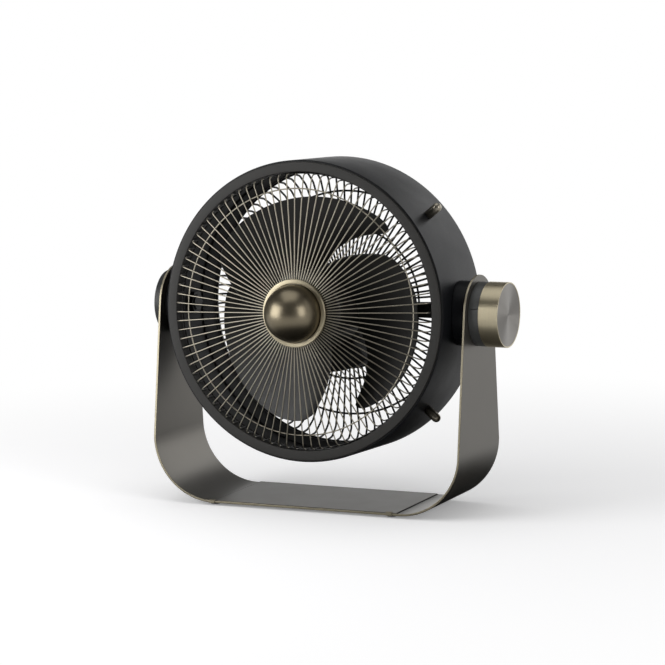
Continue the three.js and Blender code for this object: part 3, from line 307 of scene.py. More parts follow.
def make_finishes(colours):
    """Every finish of the fan by its name, each from its colour, its grain or pitch, its roughness and its bump."""
    recipes = {
        # Powder coat with metal flake, sprayed and baked: wide soft highlights over a fine sparkle. Flakes of 0.1 mm
        # are drawn at 0.7 mm so that they show.
        "satin_metallic_paint": (coated, colours.strap, 0.7, (0.28, 0.34), 0.003, {"Metallic": 0.85}),
        # Aluminium trim, cut, polished along the edge and anodised: a pale warm line.
        "champagne_anodised": (coated, colours.edge, 0.5, (0.4, 0.5), 0.002, {"spread": 0.04, "Metallic": 1.0}),
        # Stove enamel on spun steel: near black, satin, with the faint orange peel of sprayed enamel, 2 mm across.
        "satin_black_enamel": (
            coated, colours.drum, 2.0, (0.34, 0.42), 0.004, {"spread": 0.08, "Specular IOR Level": 0.12}
        ),
        # The same enamel in dark grey, a little more matt.
        "satin_grey_enamel": (
            coated, colours.bezel, 1.2, (0.42, 0.5), 0.006, {"spread": 0.06, "Specular IOR Level": 0.3}
        ),
        # Drawn steel with champagne plating: bright along each wire or peg, with faint die lines.
        "champagne_plated_wire": (coated, colours.wire, 1.5, (0.28, 0.4), 0.003, {"spread": 0.12, "Metallic": 1.0}),
        # Drawn steel wire with a dark powder coat: soft and low in contrast. On the front grille's wire ends and rim
        # ring the same dark colour is painted shade.
        "dark_coated_wire": (coated, colours.dark_wire, 0.9, (0.4, 0.5), 0.004, {"spread": 0.1, "Metallic": 0.3}),
        # Bronze plating over bead-blasted metal: soft broad lights with no sharp image in them.
        "satin_bronze": (coated, colours.bronze, 0.6, (0.3, 0.36), 0.002, {"spread": 0.04, "Metallic": 1.0}),
        # Aluminium faced off on a lathe and anodised clear: a grey disc with a bright sweep across its turning lines.
        # Lines of 0.05 mm are drawn at 0.3 mm.
        "turned_aluminium": (
            spun, colours.knob_face, 0.3, (0.36, 0.46), 0.003, {"spread": 0.07, "anisotropic": 0.95}
        ),
        # Aluminium turned, brushed round its axis and anodised champagne: streaks across a warm wide highlight. Brush
        # lines of 0.05 mm are drawn at 0.25 mm.
        "brushed_champagne": (spun, colours.knob, 0.25, (0.34, 0.44), 0.004, {"spread": 0.1, "anisotropic": 0.85}),
        # ABS moulded in an etched tool: matt black with a fine even grain of 0.4 mm.
        "moulded_abs": (coated, colours.plastic, 0.4, (0.42, 0.52), 0.008, {"spread": 0.08}),
        # The same plastic in dark grey.
        "grey_abs": (coated, colours.housing, 0.4, (0.38, 0.46), 0.008, {"spread": 0.06}),
        # Near-black matt finish. Inside the drum and on the rear ring it is painted shade, for the hollow behind the
        # grille that lies in shade; the motor housing also wears it.
        "flat_black": (coated, linear("#101010"), 0.8, (0.6, 0.7), 0.01, {"spread": 0.12}),
        # Steel dipped in black oxide and oiled: dark, with a soft grey shine on its edges.
        "black_oxide": (coated, linear("#1C1B1A"), 0.8, (0.35, 0.5), 0.004, {"spread": 0.1, "Metallic": 0.6}),
        # Polypropylene moulded in a satin tool: warm black with soft sheen and faint flow marks.
        "moulded_polypropylene": (coated, colours.blade, 1.0, (0.38, 0.5), 0.006, {"spread": 0.1, "cloud": 45}),
        # Steel turned and left bare: grey and bright.
        "turned_steel": (coated, linear("#8D8F91"), 0.8, (0.25, 0.4), 0.004, {"spread": 0.08, "Metallic": 1.0}),
        # Stamped iron sheets in a stack, oiled: a brownish, uneven shine.
        "laminated_iron": (coated, linear("#5A4C44"), 0.5, (0.4, 0.6), 0.02, {"spread": 0.15, "Metallic": 0.8}),
        # Nylon moulded and left in its own colour: pale and waxy.
        "natural_nylon": (coated, linear("#D8D4C8"), 1.5, (0.4, 0.5), 0.01, {"spread": 0.03}),
        # Glass fibre board under green solder resist: even and a little glossy.
        "solder_resist": (coated, linear("#1D5A37"), 0.6, (0.3, 0.4), 0.01, {"spread": 0.12}),
        # Moulded rubber: dull black, slightly bloomed.
        "foot_rubber": (coated, linear("#161616"), 0.6, (0.75, 0.9), 0.02, {"spread": 0.2}),
    }
    return {name: make(name, *numbers, **others) for name, (make, *numbers, others) in recipes.items()}


FINISHES = {}

# ---- mesh making


def whole(bm):
    """All that is in a bmesh."""
    return bm.verts[:] + bm.edges[:] + bm.faces[:]


def close_up(bm):
    """Merges doubled vertices, then points the faces outwards."""
    bmesh.ops.remove_doubles(bm, verts=bm.verts, dist=SAME_PLACE)
    bmesh.ops.recalc_face_normals(bm, faces=bm.faces)


def as_mesh(bm, name):
    """Makes a bmesh a mesh and frees it."""
    mesh = bpy.data.meshes.new(name)
    bm.to_mesh(mesh)
    bm.free()
    return mesh


def in_scene(name, data):
    """A new object in the scene."""
    holder = bpy.data.objects.new(name, data)
    bpy.context.scene.collection.objects.link(holder)
    return holder


def rounded(points, radius, steps=4):
    """A route through points with each inner corner rounded to a radius, where the sides beside it are long enough."""
    straight, longest = math.radians(89), 0.49
    points = [Vector(point) for point in points]
    route = [points[0]]
    for before, corner, after in zip(points, points[1:], points[2:]):
        to_before, to_after = (before - corner).normalized(), (after - corner).normalized()
        half = to_before.angle(to_after) / 2
        if half > straight:
            route.append(corner)
            continue
        shorter = min((before - corner).length, (after - corner).length)
        reach = min(radius / math.tan(half), shorter * longest)
        start, end = corner + to_before * reach, corner + to_after * reach
        for step in range(steps + 1):
            share = step / steps
            route.append(start * (1 - share) ** 2 + corner * 2 * share * (1 - share) + end * share**2)
    route.append(points[-1])
    return [tuple(point) for point in route]


def round_nose(radius, start, rise, steps):
    """The profile of a nose that starts at full radius and closes on the axis, rise further along."""
    angles = [math.pi / 2 * step / steps for step in range(steps)]
    return [(radius * math.cos(angle), start + rise * math.sin(angle)) for angle in angles] + [(0, start + rise)]


def turned(profile, steps, place=ON_DRUM_AXIS, closed=False):
    """A bmesh spun from a profile about the Z axis of a place. Its UV map runs round the axis and along the profile."""
    bm = bmesh.new()
    run = bm.verts.layers.float.new("run")
    travelled, last = 0.0, None
    for radius, along in profile:
        vert = bm.verts.new((radius * MM, 0, along * MM))
        if last is not None:
            travelled += (vert.co - last.co).length
            bm.edges.new((last, vert))
        vert[run] = travelled
        last = vert
    if closed:
        bm.verts.ensure_lookup_table()
        bm.edges.new((last, bm.verts[0]))
    bmesh.ops.spin(
        bm, geom=whole(bm), cent=(0, 0, 0), axis=(0, 0, 1), angle=math.tau, steps=steps, use_merge=True
    )
    close_up(bm)
    uv = bm.loops.layers.uv.new("Turned")
    for face in bm.faces:
        centre = face.calc_center_median()
        middle = math.atan2(centre.y, centre.x)
        for loop in face.loops:
            co = loop.vert.co
            angle = middle if co.xy.length < SAME_PLACE else math.atan2(co.y, co.x)
            angle += math.tau * round((middle - angle) / math.tau)
            loop[uv].uv = (angle / math.tau, loop.vert[run])
    bm.verts.layers.float.remove(bm.verts.layers.float["run"])
    bm.transform(place)
    return bm


def hoop_ring(radius, along, wire):
    """A ring of round wire about the drum's axis: radius and along in millimetres, the wire's radius in metres."""
    section = []
    steps, sides = 138, 10
    for side in range(sides):
        angle = math.tau * side / sides
        section.append((radius + wire / MM * math.cos(angle), along + wire / MM * math.sin(angle)))
    return turned(section, steps, closed=True)


def lower_sector(inner, outer, start, end, spread, edge):
    """A part of a ring about the drum's axis, centred on its lowest point: sizes in millimetres, spread in degrees, and
    edge the round of its edges."""
    bm = bmesh.new()
    section = ((inner, start), (outer, start), (outer, end), (inner, end))
    bmesh.ops.contextual_create(bm, geom=[bm.verts.new((radius * MM, 0, along * MM)) for radius, along in section])
    to_start = Matrix.Rotation(math.radians(90 - spread / 2), 3, "Z")
    bmesh.ops.rotate(bm, verts=bm.verts, cent=(0, 0, 0), matrix=to_start)
    bmesh.ops.spin(bm, geom=whole(bm), cent=(0, 0, 0), axis=(0, 0, 1), angle=math.radians(spread), steps=28)
    close_up(bm)
    sharp = [e for e in bm.edges if len(e.link_faces) == 2 and e.calc_face_angle() > SHARP_EDGE]
    bmesh.ops.bevel(bm, geom=sharp, offset=edge * MM, segments=4, profile=0.5, affect="EDGES", material=-1)
    bm.transform(ON_DRUM_AXIS)
    return bm


def refinished(bm, index, chosen, place=ON_DRUM_AXIS):
    """Gives the faces that a test picks another of the piece's finishes. The test is handed a face's middle as its
    distance from the place's Z axis and along it, in millimetres."""
    to_axis = place.inverted()
    for face in bm.faces:
        middle = to_axis @ face.calc_center_median()
        if chosen(middle.xy.length / MM, middle.z / MM):
            face.material_index = index


def merged(first, *others):
    """Adds the other bmeshes' faces to the first."""
    for other in others:
        mesh = as_mesh(other, "merge")
        first.from_mesh(mesh)
        bpy.data.meshes.remove(mesh)
    return first


def repeated(bm, count):
    """Repeats what is in a bmesh count times round the drum's axis."""
    bmesh.ops.spin(
        bm,
        geom=whole(bm),
        cent=ON_DRUM_AXIS.translation,
        axis=ON_DRUM_AXIS.to_3x3() @ Vector((0, 0, 1)),
        angle=math.tau * (count - 1) / count,
        steps=count - 1,
        use_duplicate=True,
    )
    return bm


def round_wire(route, radius, place):
    """A capped round wire of eight sides along a route, which lies in the XZ plane before it is placed."""
    curve = bpy.data.curves.new("wire", "CURVE")
    curve.dimensions = "3D"
    curve.bevel_depth = radius
    curve.bevel_resolution = 2
    curve.use_fill_caps = True
    spline = curve.splines.new("POLY")
    spline.points.add(len(route) - 1)
    for point, (out, along) in zip(spline.points, route):
        point.co = (out * MM, 0, along * MM, 1)
    carrier = in_scene("wire", curve)
    mesh = bpy.data.meshes.new_from_object(carrier.evaluated_get(bpy.context.evaluated_depsgraph_get()))
    bm = bmesh.new()
    bm.from_mesh(mesh)
    bpy.data.objects.remove(carrier)
    bpy.data.curves.remove(curve)
    bpy.data.meshes.remove(mesh)
    close_up(bm)
    bm.transform(place)
    return bm


def block(size, middle):
    """A box-shaped bmesh."""
    bm = bmesh.new()
    bmesh.ops.create_cube(bm, size=1.0)
    bmesh.ops.scale(bm, vec=size, verts=bm.verts)
    bmesh.ops.translate(bm, vec=middle, verts=bm.verts)
    return bm


def finish_piece(bm, name, body, slot_name, finishes, replaced=(), edge=0.0, segments=2, sharp=35):
    """Makes a bmesh an object at the origin that rides on a body. edge is the round of its edges in millimetres, and
    sharp the angle in degrees from which the edges of a piece without that round look sharp, or 0."""
    mesh = as_mesh(bm, name)
    mesh.shade_smooth()
    piece = in_scene(name, mesh)
    for finish in finishes:
        mesh.materials.append(FINISHES[finish])
    if edge:
        add_bevel(piece, edge * MM, segments)
    elif sharp:
        mesh.set_sharp_from_angle(angle=math.radians(sharp))
    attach(piece, body)
    if replaced:
        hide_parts(*replaced)
    return piece


def dress(bm, node, body, slot_name, finishes, **edges):
    """Makes a bmesh the fine piece that takes the place of a CAD node."""
    return finish_piece(bm, f"{node}_fine", body, slot_name, finishes, [node], **edges)


def add_bevel(piece, width, segments):
    """A round on every sharp edge of a piece."""
    bevel = piece.modifiers.new("Edges", "BEVEL")
    bevel.width = width
    bevel.segments = segments
    bevel.profile = 0.5
    bevel.material = -1
    bevel.limit_method = "ANGLE"
    bevel.angle_limit = SHARP_EDGE
    bevel.harden_normals = True


def paint_node(finish, *nodes):
    """Gives CAD nodes a finish."""
    for node in nodes:
        piece = frame["nodes"][node]
        if not piece.material_slots:
            piece.data.materials.append(FINISHES[finish])
        for holder in piece.material_slots:
            holder.material = FINISHES[finish]


# ---- yoke and base


def strap_sheet(yoke):
    """The strap's outer face: a strip bent in a U, with tapered arms and round tops."""
    bend_steps, top_steps = 40, 48
    bend_x, bend_z = yoke.half_span - yoke.bend_radius, yoke.foot_height + yoke.bend_radius
    spare = 2 * MM
    top = PIVOT.z + yoke.top_radius + spare
    bm = bmesh.new()
    tip = bm.verts.new((-yoke.half_span, -yoke.front_reach, top))

    def run(vert, *offset):
        new = bmesh.ops.extrude_vert_indiv(bm, verts=[vert])["verts"][0]
        bmesh.ops.translate(bm, verts=[new], vec=offset)
        return new

    def bend(vert, centre_x):
        last = bmesh.ops.spin(
            bm, geom=[vert], cent=(centre_x, 0, bend_z), axis=(0, 1, 0), angle=-math.pi / 2, steps=bend_steps
        )["geom_last"]
        return next(element for element in last if isinstance(element, bmesh.types.BMVert))

    tip = run(tip, 0, 0, bend_z - top)
    tip = bend(tip, -bend_x)
    tip = run(tip, 2 * bend_x, 0, 0)
    tip = bend(tip, bend_x)
    run(tip, 0, 0, top - bend_z)
    strip = bmesh.ops.extrude_edge_only(bm, edges=bm.edges[:])["geom"]
    rear_edge = [element for element in strip if isinstance(element, bmesh.types.BMVert)]
    bmesh.ops.translate(bm, verts=rear_edge, vec=(0, yoke.front_reach + yoke.rear_reach, 0))
    bmesh.ops.remove_doubles(bm, verts=bm.verts, dist=SAME_PLACE)
    rise = PIVOT.z - bend_z

    def side_slope(reach):
        return math.acos(yoke.top_radius / math.hypot(reach, rise)) - math.atan2(rise, reach)

    start, end = side_slope(yoke.rear_reach), math.pi - side_slope(yoke.front_reach)
    for step in range(top_steps + 1):
        angle = start + (end - start) * step / top_steps
        normal = Vector((0, math.cos(angle), math.sin(angle)))
        touch = Vector((0, 0, PIVOT.z)) + normal * yoke.top_radius
        bmesh.ops.bisect_plane(bm, geom=whole(bm), dist=1e-7, plane_co=touch, plane_no=normal, clear_outer=True)
    bmesh.ops.recalc_face_normals(bm, faces=bm.faces)
    lowest = min(bm.faces, key=lambda face: face.calc_center_median().z)
    if lowest.normal.z > 0:
        bmesh.ops.reverse_faces(bm, faces=bm.faces)
    bm.transform(UNDER_PIVOT)
    return bm


class FAN_OT_yoke(bpy.types.Operator):
    """Makes the bent yoke strap with its bright cut edges"""

    bl_idname = "fan.yoke"
    bl_label = "Yoke Strap"

    def execute(self, context):
        yoke = context.scene.fan_yoke
        finishes = ["satin_metallic_paint", "champagne_anodised"]
        strap = dress(strap_sheet(yoke), "yoke_strap", "stand", "strap_paint", finishes, sharp=0)
        wall = strap.modifiers.new("Thickness", "SOLIDIFY")
        wall.thickness = yoke.thickness
        wall.offset = -1
        wall.use_even_offset = True
        wall.material_offset_rim = 1
        add_bevel(strap, yoke.edge_round, 3)
        return {"FINISHED"}


class FAN_OT_base_trim(bpy.types.Operator):
    """Makes the cover plate on the base with a dark strip of painted shade at each end, and the rubber feet, and
    finishes the edge clips
    """

    bl_idname = "fan.base_trim"
    bl_label = "Base Cover, Clips and Feet"

    def execute(self, context):
        yoke = context.scene.fan_yoke
        low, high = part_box("base_cover")
        middle = (low + high) / 2
        dress(block(high - low, middle), "base_cover", "stand", "strap_paint", ["satin_metallic_paint"], edge=0.25)
        # Painted shade: a thin dark rubber strip at each end of the cover stands for the shade where the cover's end
        # meets the strap.
        shade_strip_size = Vector((yoke.shade_strip_width, high.y - low.y - 1.2 * MM, 0.3 * MM))
        for side, end in (("left", low.x - 0.5 * yoke.shade_strip_width), ("right", high.x + 0.5 * yoke.shade_strip_width)):
            shade_strip = block(shade_strip_size, (end, middle.y, low.z + shade_strip_size.z / 2))
            finish_piece(shade_strip, f"base_cover_shade_strip_{side}", "stand", "foot_rubber", ["foot_rubber"], edge=0.08)
        radius, height, stud = yoke.foot_radius / MM, yoke.foot_height / MM - GAP, 3
        stud_top = height + 2.4
        foot = [(radius - 2.2, 0), (radius - 0.5, 0), (radius, height), (stud, height), (stud, stud_top)]
        profile = [(0, 0)] + rounded(foot, 0.5, 3) + [(0, stud_top)]
        for side in ("left", "right"):
            for end in ("front", "rear"):
                node = f"foot_{end}_{side}"
                near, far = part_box(node)
                centre = (near + far) / 2
                pad = turned(profile, 40, Matrix.Translation((centre.x, centre.y, 0)))
                finish_piece(pad, f"{node}_pad", "stand", "foot_rubber", ["foot_rubber"], [node])
        paint_node("champagne_anodised", "cover_clip_left", "cover_clip_right")
        return {"FINISHED"}


# ---- fittings on the arms


class FAN_OT_arm_fittings(bpy.types.Operator):
    """Makes the control housing, the left cap and the friction washers"""

    bl_idname = "fan.arm_fittings"
    bl_label = "Arm Fittings"

    def execute(self, context):
        fitting, arm = context.scene.fan_fittings, context.scene.fan_yoke.half_span / MM
        radius, bore, face = fitting.housing_radius / MM, 4.8, 1.6
        inner, start, end = radius - 2.6, arm + GAP, arm + 12
        outside = [(inner, start), (radius, start), (radius, start + 0.8), (radius, end - 0.8), (radius, end)]
        housing = outside + [(bore, end), (bore, end - face), (inner, end - face)]
        bm = turned(housing, 288, ON_ARMS, closed=True)
        self.cut_index_line(bm, fitting, radius)
        dress(bm, "control_housing", "stand", "black_plastic", ["grey_abs"], edge=0.3)
        radius, start, end = fitting.knob_radius / MM, -arm - GAP, arm + 10.6
        inner, floor = radius - 2.3, 2.5 - end
        cap = [(0, -end)] + rounded([(radius - 6, -end), (radius, -end), (radius, start)], 2.2, 6)
        cap += [(inner, start), (inner, floor), (0, floor)]
        dress(turned(cap, 144, ON_ARMS), "left_cap", "stand", "black_plastic", ["moulded_abs"])
        bore, radius = 11.5, 34
        for node in ("friction_washer_right", "friction_washer_left"):
            near, far = reach_along_x(node)
            ring = turned([(bore, near), (radius, near), (radius, far), (bore, far)], 96, ON_ARMS, closed=True)
            dress(ring, node, "stand", "natural_nylon", ["moulded_abs"], edge=0.4)
        return {"FINISHED"}

    @staticmethod
    def cut_index_line(bm, fitting, radius):
        """Sinks one narrow strip of the housing's wall, at the front."""
        depth, smallest = 1.3 * MM, 5e-6
        wanted = math.pi - fitting.index_angle

        def off(face):
            centre = face.calc_center_median() - PIVOT
            on_wall = centre.yz.length > (radius - 0.05) * MM
            return abs(math.atan2(centre.z, centre.y) - wanted) if on_wall else math.inf

        strip = min((face for face in bm.faces if face.calc_area() > smallest), key=off)
        floor = bmesh.ops.extrude_discrete_faces(bm, faces=[strip])["faces"][0]
        centre = floor.calc_center_median() - PIVOT
        inward = Vector((0, -centre.y, -centre.z)).normalized() * depth
        bmesh.ops.translate(bm, verts=floor.verts, vec=inward)


class FAN_OT_knob(bpy.types.Operator):
    """Makes the brushed speed knob with its turned face"""

    bl_idname = "fan.knob"
    bl_label = "Speed Knob"

    def execute(self, context):
        start, end = reach_along_x("speed_knob")
        radius = context.scene.fan_fittings.knob_radius / MM
        rim, inner, floor = radius - 1, radius - 2.3, end - 2.5
        face_middle, face_edge = end - 0.9, end - 0.4
        outside = [(0, face_middle), (rim - 0.5, face_edge), (rim, end), (radius, end), (radius, start)]
        bm = turned(rounded(outside, 0.5, 5) + [(inner, start), (inner, floor), (0, floor)], 160, ON_ARMS)
        refinished(bm, 1, lambda out, along: along > end - 1 and out < rim - 0.4, ON_ARMS)
        dress(bm, "speed_knob", "knob", "champagne_aluminium", ["brushed_champagne", "turned_aluminium"])
        return {"FINISHED"}


# ---- drum


class FAN_OT_drum(bpy.types.Operator):
    """Makes the drum's shell, its front ring and the ring inside its rear"""

    bl_idname = "fan.drum"
    bl_label = "Drum"

    def execute(self, context):
        drum = context.scene.fan_drum
        radius, wall, opening, face_radius = drum.radius / MM, drum.wall / MM, drum.opening / MM, drum.face_radius / MM
        front, rear, rear_opening = -drum.front / MM, drum.rear / MM, drum.rear_opening / MM
        inner, mouth, floor = radius - wall, front + 2.2, rear - wall
        outside = [(inner, mouth), (radius, mouth), (radius, rear), (rear_opening, rear), (rear_opening, floor)]
        bm = turned(rounded(outside, 1.6, 6) + [(inner, floor)], drum.steps, closed=True)
        # Painted shade: the drum's inside takes the near-black finish, as its hollow lies in shade.
        refinished(bm, 1, lambda out, along: out < inner + 0.5 and along < rear - wall / 2)
        dress(bm, "drum_shell", "head", "drum_paint", ["satin_black_enamel", "flat_black"])

        lap, skirt, lap_end, skirt_end = inner - GAP, opening + 2.4, front + 10, front + 16
        face = [(opening, skirt_end - 1), (opening, front), (face_radius, front), (face_radius, mouth - GAP)]
        bezel = [(skirt, lap_end), (skirt, skirt_end), (opening, skirt_end)] + rounded(face, 1.3, 6)
        bezel += [(lap, mouth - GAP), (lap, lap_end)]
        dress(turned(bezel, drum.steps, closed=True), "front_bezel", "head", "bezel_paint", ["satin_grey_enamel"])

        start, seat, end, collar = floor - 30, floor - 9, floor - GAP, rear_opening + 2.4
        cone = [(rear_opening, seat), (lap - 1.6, start), (lap, start), (lap, start + 6), (collar, seat)]
        bm = turned(cone + [(collar, end), (rear_opening, end)], drum.steps, closed=True)
        # The rear ring's near black is painted shade inside the drum.
        dress(bm, "rear_ring", "head", "black_plastic", ["flat_black"], edge=0.5)
        return {"FINISHED"}


class FAN_OT_bosses_and_pegs(bpy.types.Operator):
    """Makes the side bosses, which follow the drum's wall, and the two round-nosed tilt pegs"""

    bl_idname = "fan.bosses_and_pegs"
    bl_label = "Bosses and Pegs"

    def execute(self, context):
        fitting, drum = context.scene.fan_fittings, context.scene.fan_drum
        radius, wall, bore = fitting.boss_radius / MM, drum.radius / MM, 9.3
        # The foot is spun from several rings, which then move out to the drum's round wall.
        foot, moved, clearance = wall - 14, (wall - 10) * MM, 0.1 * MM
        for side, facing in (("right", Matrix.Identity(4)), ("left", Matrix.Rotation(math.pi, 4, "Z"))):
            node = f"side_boss_{side}"
            outer = max(abs(end) for end in reach_along_x(node))
            profile = [(out, foot) for out in (bore, 16, 23, 30, radius)] + [(radius, outer), (bore, outer)]
            bm = turned(profile, 96, ALONG_X, closed=True)
            for vert in bm.verts:
                if vert.co.x < moved:
                    vert.co.x = math.sqrt((drum.radius + clearance) ** 2 - vert.co.z**2)
            bm.transform(IN_HEAD @ facing)
            dress(bm, node, "head", "drum_paint", ["satin_black_enamel"], edge=0.9, segments=3)

        peg, base, shank, root = fitting.peg_radius / MM, wall + GAP, 3, wall - 3.5
        nose = base + fitting.peg_length / MM - peg
        profile = [(0, root), (shank, root), (shank, base), (peg - 0.5, base), (peg, base + 0.5)]
        profile += round_nose(peg, nose, peg, 8)
        ahead = Matrix.Translation((0, -10 * MM, 0))
        for node, angle in (("tilt_peg_upper", fitting.peg_angle), ("tilt_peg_lower", -fitting.peg_angle)):
            place = IN_HEAD @ ahead @ Matrix.Rotation(-angle, 4, "Y") @ ALONG_X
            dress(turned(profile, 40, place), node, "head", "polished_bronze", ["champagne_plated_wire"], sharp=50)
        return {"FINISHED"}


# ---- grilles


def wire_guard(grille, wire, route, bend_round):
    """All the radial wires of one grille along a rounded route, half a step off the top."""
    start = ON_DRUM_AXIS @ Matrix.Rotation(math.pi / 2 + math.pi / grille.wires, 4, "Z")
    return repeated(round_wire(rounded(route, bend_round, 4), wire, start), grille.wires)


class FAN_OT_front_grille(bpy.types.Operator):
    """Makes the front grille of radial wires on their disc and rim ring, and the hoop behind them"""

    bl_idname = "fan.front_grille"
    bl_label = "Front Grille"

    def execute(self, context):
        grille = context.scene.fan_grille
        centre, disc, wire = -grille.front_centre / MM, grille.disc_radius / MM, grille.wire_radius
        root, shoulder, rim = (disc - 3, centre), (155.1, -68.6), (155.2, -49)
        painted_shade_from, screw_hole, hoop = -57, 2.3, 138.5
        bm = wire_guard(grille, wire, [root, shoulder, rim], 7)
        front, back = centre - HALF_PLATE, centre + HALF_PLATE
        plate = rounded([(screw_hole, front), (disc, front), (disc, back), (screw_hole, back)], 0.6, 3)
        merged(bm, turned(plate, 96, closed=True), hoop_ring(*rim, grille.rim_wire_radius))
        # Painted shade: the wire ends behind the front ring, and the rim ring they end on, take the dark colour as if
        # they lay in the ring's shade.
        refinished(bm, 1, lambda out, along: out > disc + 1 and along > painted_shade_from)
        dress(bm, "front_grille", "head", "grille_wire", ["champagne_plated_wire", "dark_coated_wire"], sharp=50)
        share = (hoop - root[0]) / (shoulder[0] - root[0])
        along = centre + share * (shoulder[1] - centre) + 2 * wire / MM
        bm = hoop_ring(hoop, along, wire)
        dress(bm, "front_hoop", "head", "grille_wire", ["champagne_plated_wire"], sharp=0)
        return {"FINISHED"}


class FAN_OT_centre_cap(bpy.types.Operator):
    """Makes the bright ring and the satin round-nosed cap in the middle of the front grille"""

    bl_idname = "fan.centre_cap"
    bl_label = "Centre Ring and Cap"

    def execute(self, context):
        grille = context.scene.fan_grille
        base = -grille.front_centre / MM - HALF_PLATE - GAP
        front, inner, outer = base - 3, 33.2, 38.2
        ring = rounded([(inner, base - 1), (inner, front), (outer, front), (outer, base - 1)], 1.3, 5)
        bm = turned([(inner, base), *ring, (outer, base)], 128, closed=True)
        dress(bm, "grille_trim_ring", "head", "champagne_aluminium", ["brushed_champagne"])
        radius, rise, wall = grille.dome_radius / MM, front - base + grille.dome_height / MM, 2
        outside = [(radius, base)] + round_nose(radius, front, -rise, 40)
        inside = round_nose(radius - wall, front, wall - rise, 13)[::-1] + [(radius - wall, base), (radius, base)]
        bm = merged(turned(outside, 128), turned(inside, 128))
        close_up(bm)
        dress(bm, "dome_cap", "head", "polished_bronze", ["satin_bronze"], sharp=60)
        return {"FINISHED"}


class FAN_OT_rear_grille(bpy.types.Operator):
    """Makes the rear grille on its motor plate, which reaches down behind the bay, and its two hoops"""

    bl_idname = "fan.rear_grille"
    bl_label = "Rear Grille"

    def execute(self, context):
        grille = context.scene.fan_grille
        plane, radius, wire = grille.rear_plane / MM, grille.plate_radius / MM, grille.rear_wire_radius
        root, shoulder, lip, rim = (radius - 4, plane), (146, plane), (157.2, plane - 8), (159.4, plane - 20.2)
        bm = wire_guard(grille, wire, [root, shoulder, lip, rim], 6)
        face, back = plane - HALF_PLATE, plane + HALF_PLATE
        groove, seat_end = back - 0.9, face - 7.3
        edge = rounded([(radius, face + 0.5), (radius, back), (radius - 8, back)], 1, 4)[1:]
        plate = [(0, face), (radius, face), *edge, (radius - 9, groove), (radius - 11, groove), (radius - 12, back)]
        seat = [(SEAT_BORE, seat_end), (SEAT_RADIUS, seat_end), (SEAT_RADIUS, face), (SEAT_BORE, face)]
        merged(
            bm,
            turned(plate + [(0, back)], 128),
            turned(seat, 48, closed=True),
            lower_sector(radius - 3, BAY_REACH + 1.6, face, back, BAY_SPREAD + 3, 0.6),
            hoop_ring(*rim, grille.rim_wire_radius),
        )
        dress(bm, "rear_grille", "head", "dark_wire", ["dark_coated_wire"], sharp=50)
        for node, hoop in (("rear_hoop_inner", 88.5), ("rear_hoop_outer", 129.7)):
            ring = hoop_ring(hoop, plane + 2 * wire / MM, wire)
            dress(ring, node, "head", "dark_wire", ["dark_coated_wire"], sharp=0)
        return {"FINISHED"}


# ---- motor and blade wheel


class FAN_OT_motor(bpy.types.Operator):
    """Makes the motor's housing with the bay under it, and its plain round rear cover"""

    bl_idname = "fan.motor"
    bl_label = "Motor"

    def execute(self, context):
        plane = context.scene.fan_grille.rear_plane / MM
        radius, inner, bore, face, rear = 49, 47, 5, 8, plane - HALF_PLATE - GAP
        floor, seat_floor, seat_end, groove = face + 2, 10.7, 18.3, radius - 0.8
        housing = [(bore, face), (15, face), (17, 9.2), (25, 9.2), (27, face)]
        housing += rounded([(32, face), (radius, face), (radius, 20)], 7, 8)[1:-1]
        housing += [(radius, 34), (groove, 35), (groove, 38), (radius, 39), (radius, rear), (inner, rear)]
        housing += [(inner, floor + 4), (inner - 4, floor), (SEAT_RADIUS, floor), (SEAT_RADIUS, seat_end)]
        housing += [(SEAT_BORE, seat_end), (SEAT_BORE, seat_floor), (bore, seat_floor)]
        bay = lower_sector(inner + 0.5, BAY_REACH, face, rear, BAY_SPREAD, 3)
        bm = merged(turned(housing, 128, closed=True), bay)
        dress(bm, "motor_housing", "head", "drum_paint", ["flat_black"])

        base, radius = plane + HALF_PLATE + GAP, 41
        dome = [(radius, base + 1), (radius, base + 6), (35, base + 11), (20.5, base + 13.2)]
        cover = [(0, base), (radius, base), *rounded(dome, 3, 5)[1:], (14, base + 13.6), (0, base + 14)]
        dress(turned(cover, 96), "motor_cover", "head", "black_plastic", ["moulded_abs"], sharp=30)
        return {"FINISHED"}


def blade_tip(tip, fall, chord):
    """The radius of the tip's outline in millimetres, at a share of the chord from the trailing edge."""
    corner, trailing_share, leading_share = 14, 0.22, 0.15

    def cut(share):
        return corner * (1 - math.sqrt(max(0.0, 1 - max(0.0, share) ** 2)))

    leading = (chord - 1 + leading_share) / leading_share
    return tip - fall * chord - cut(1 - chord / trailing_share) - cut(leading)


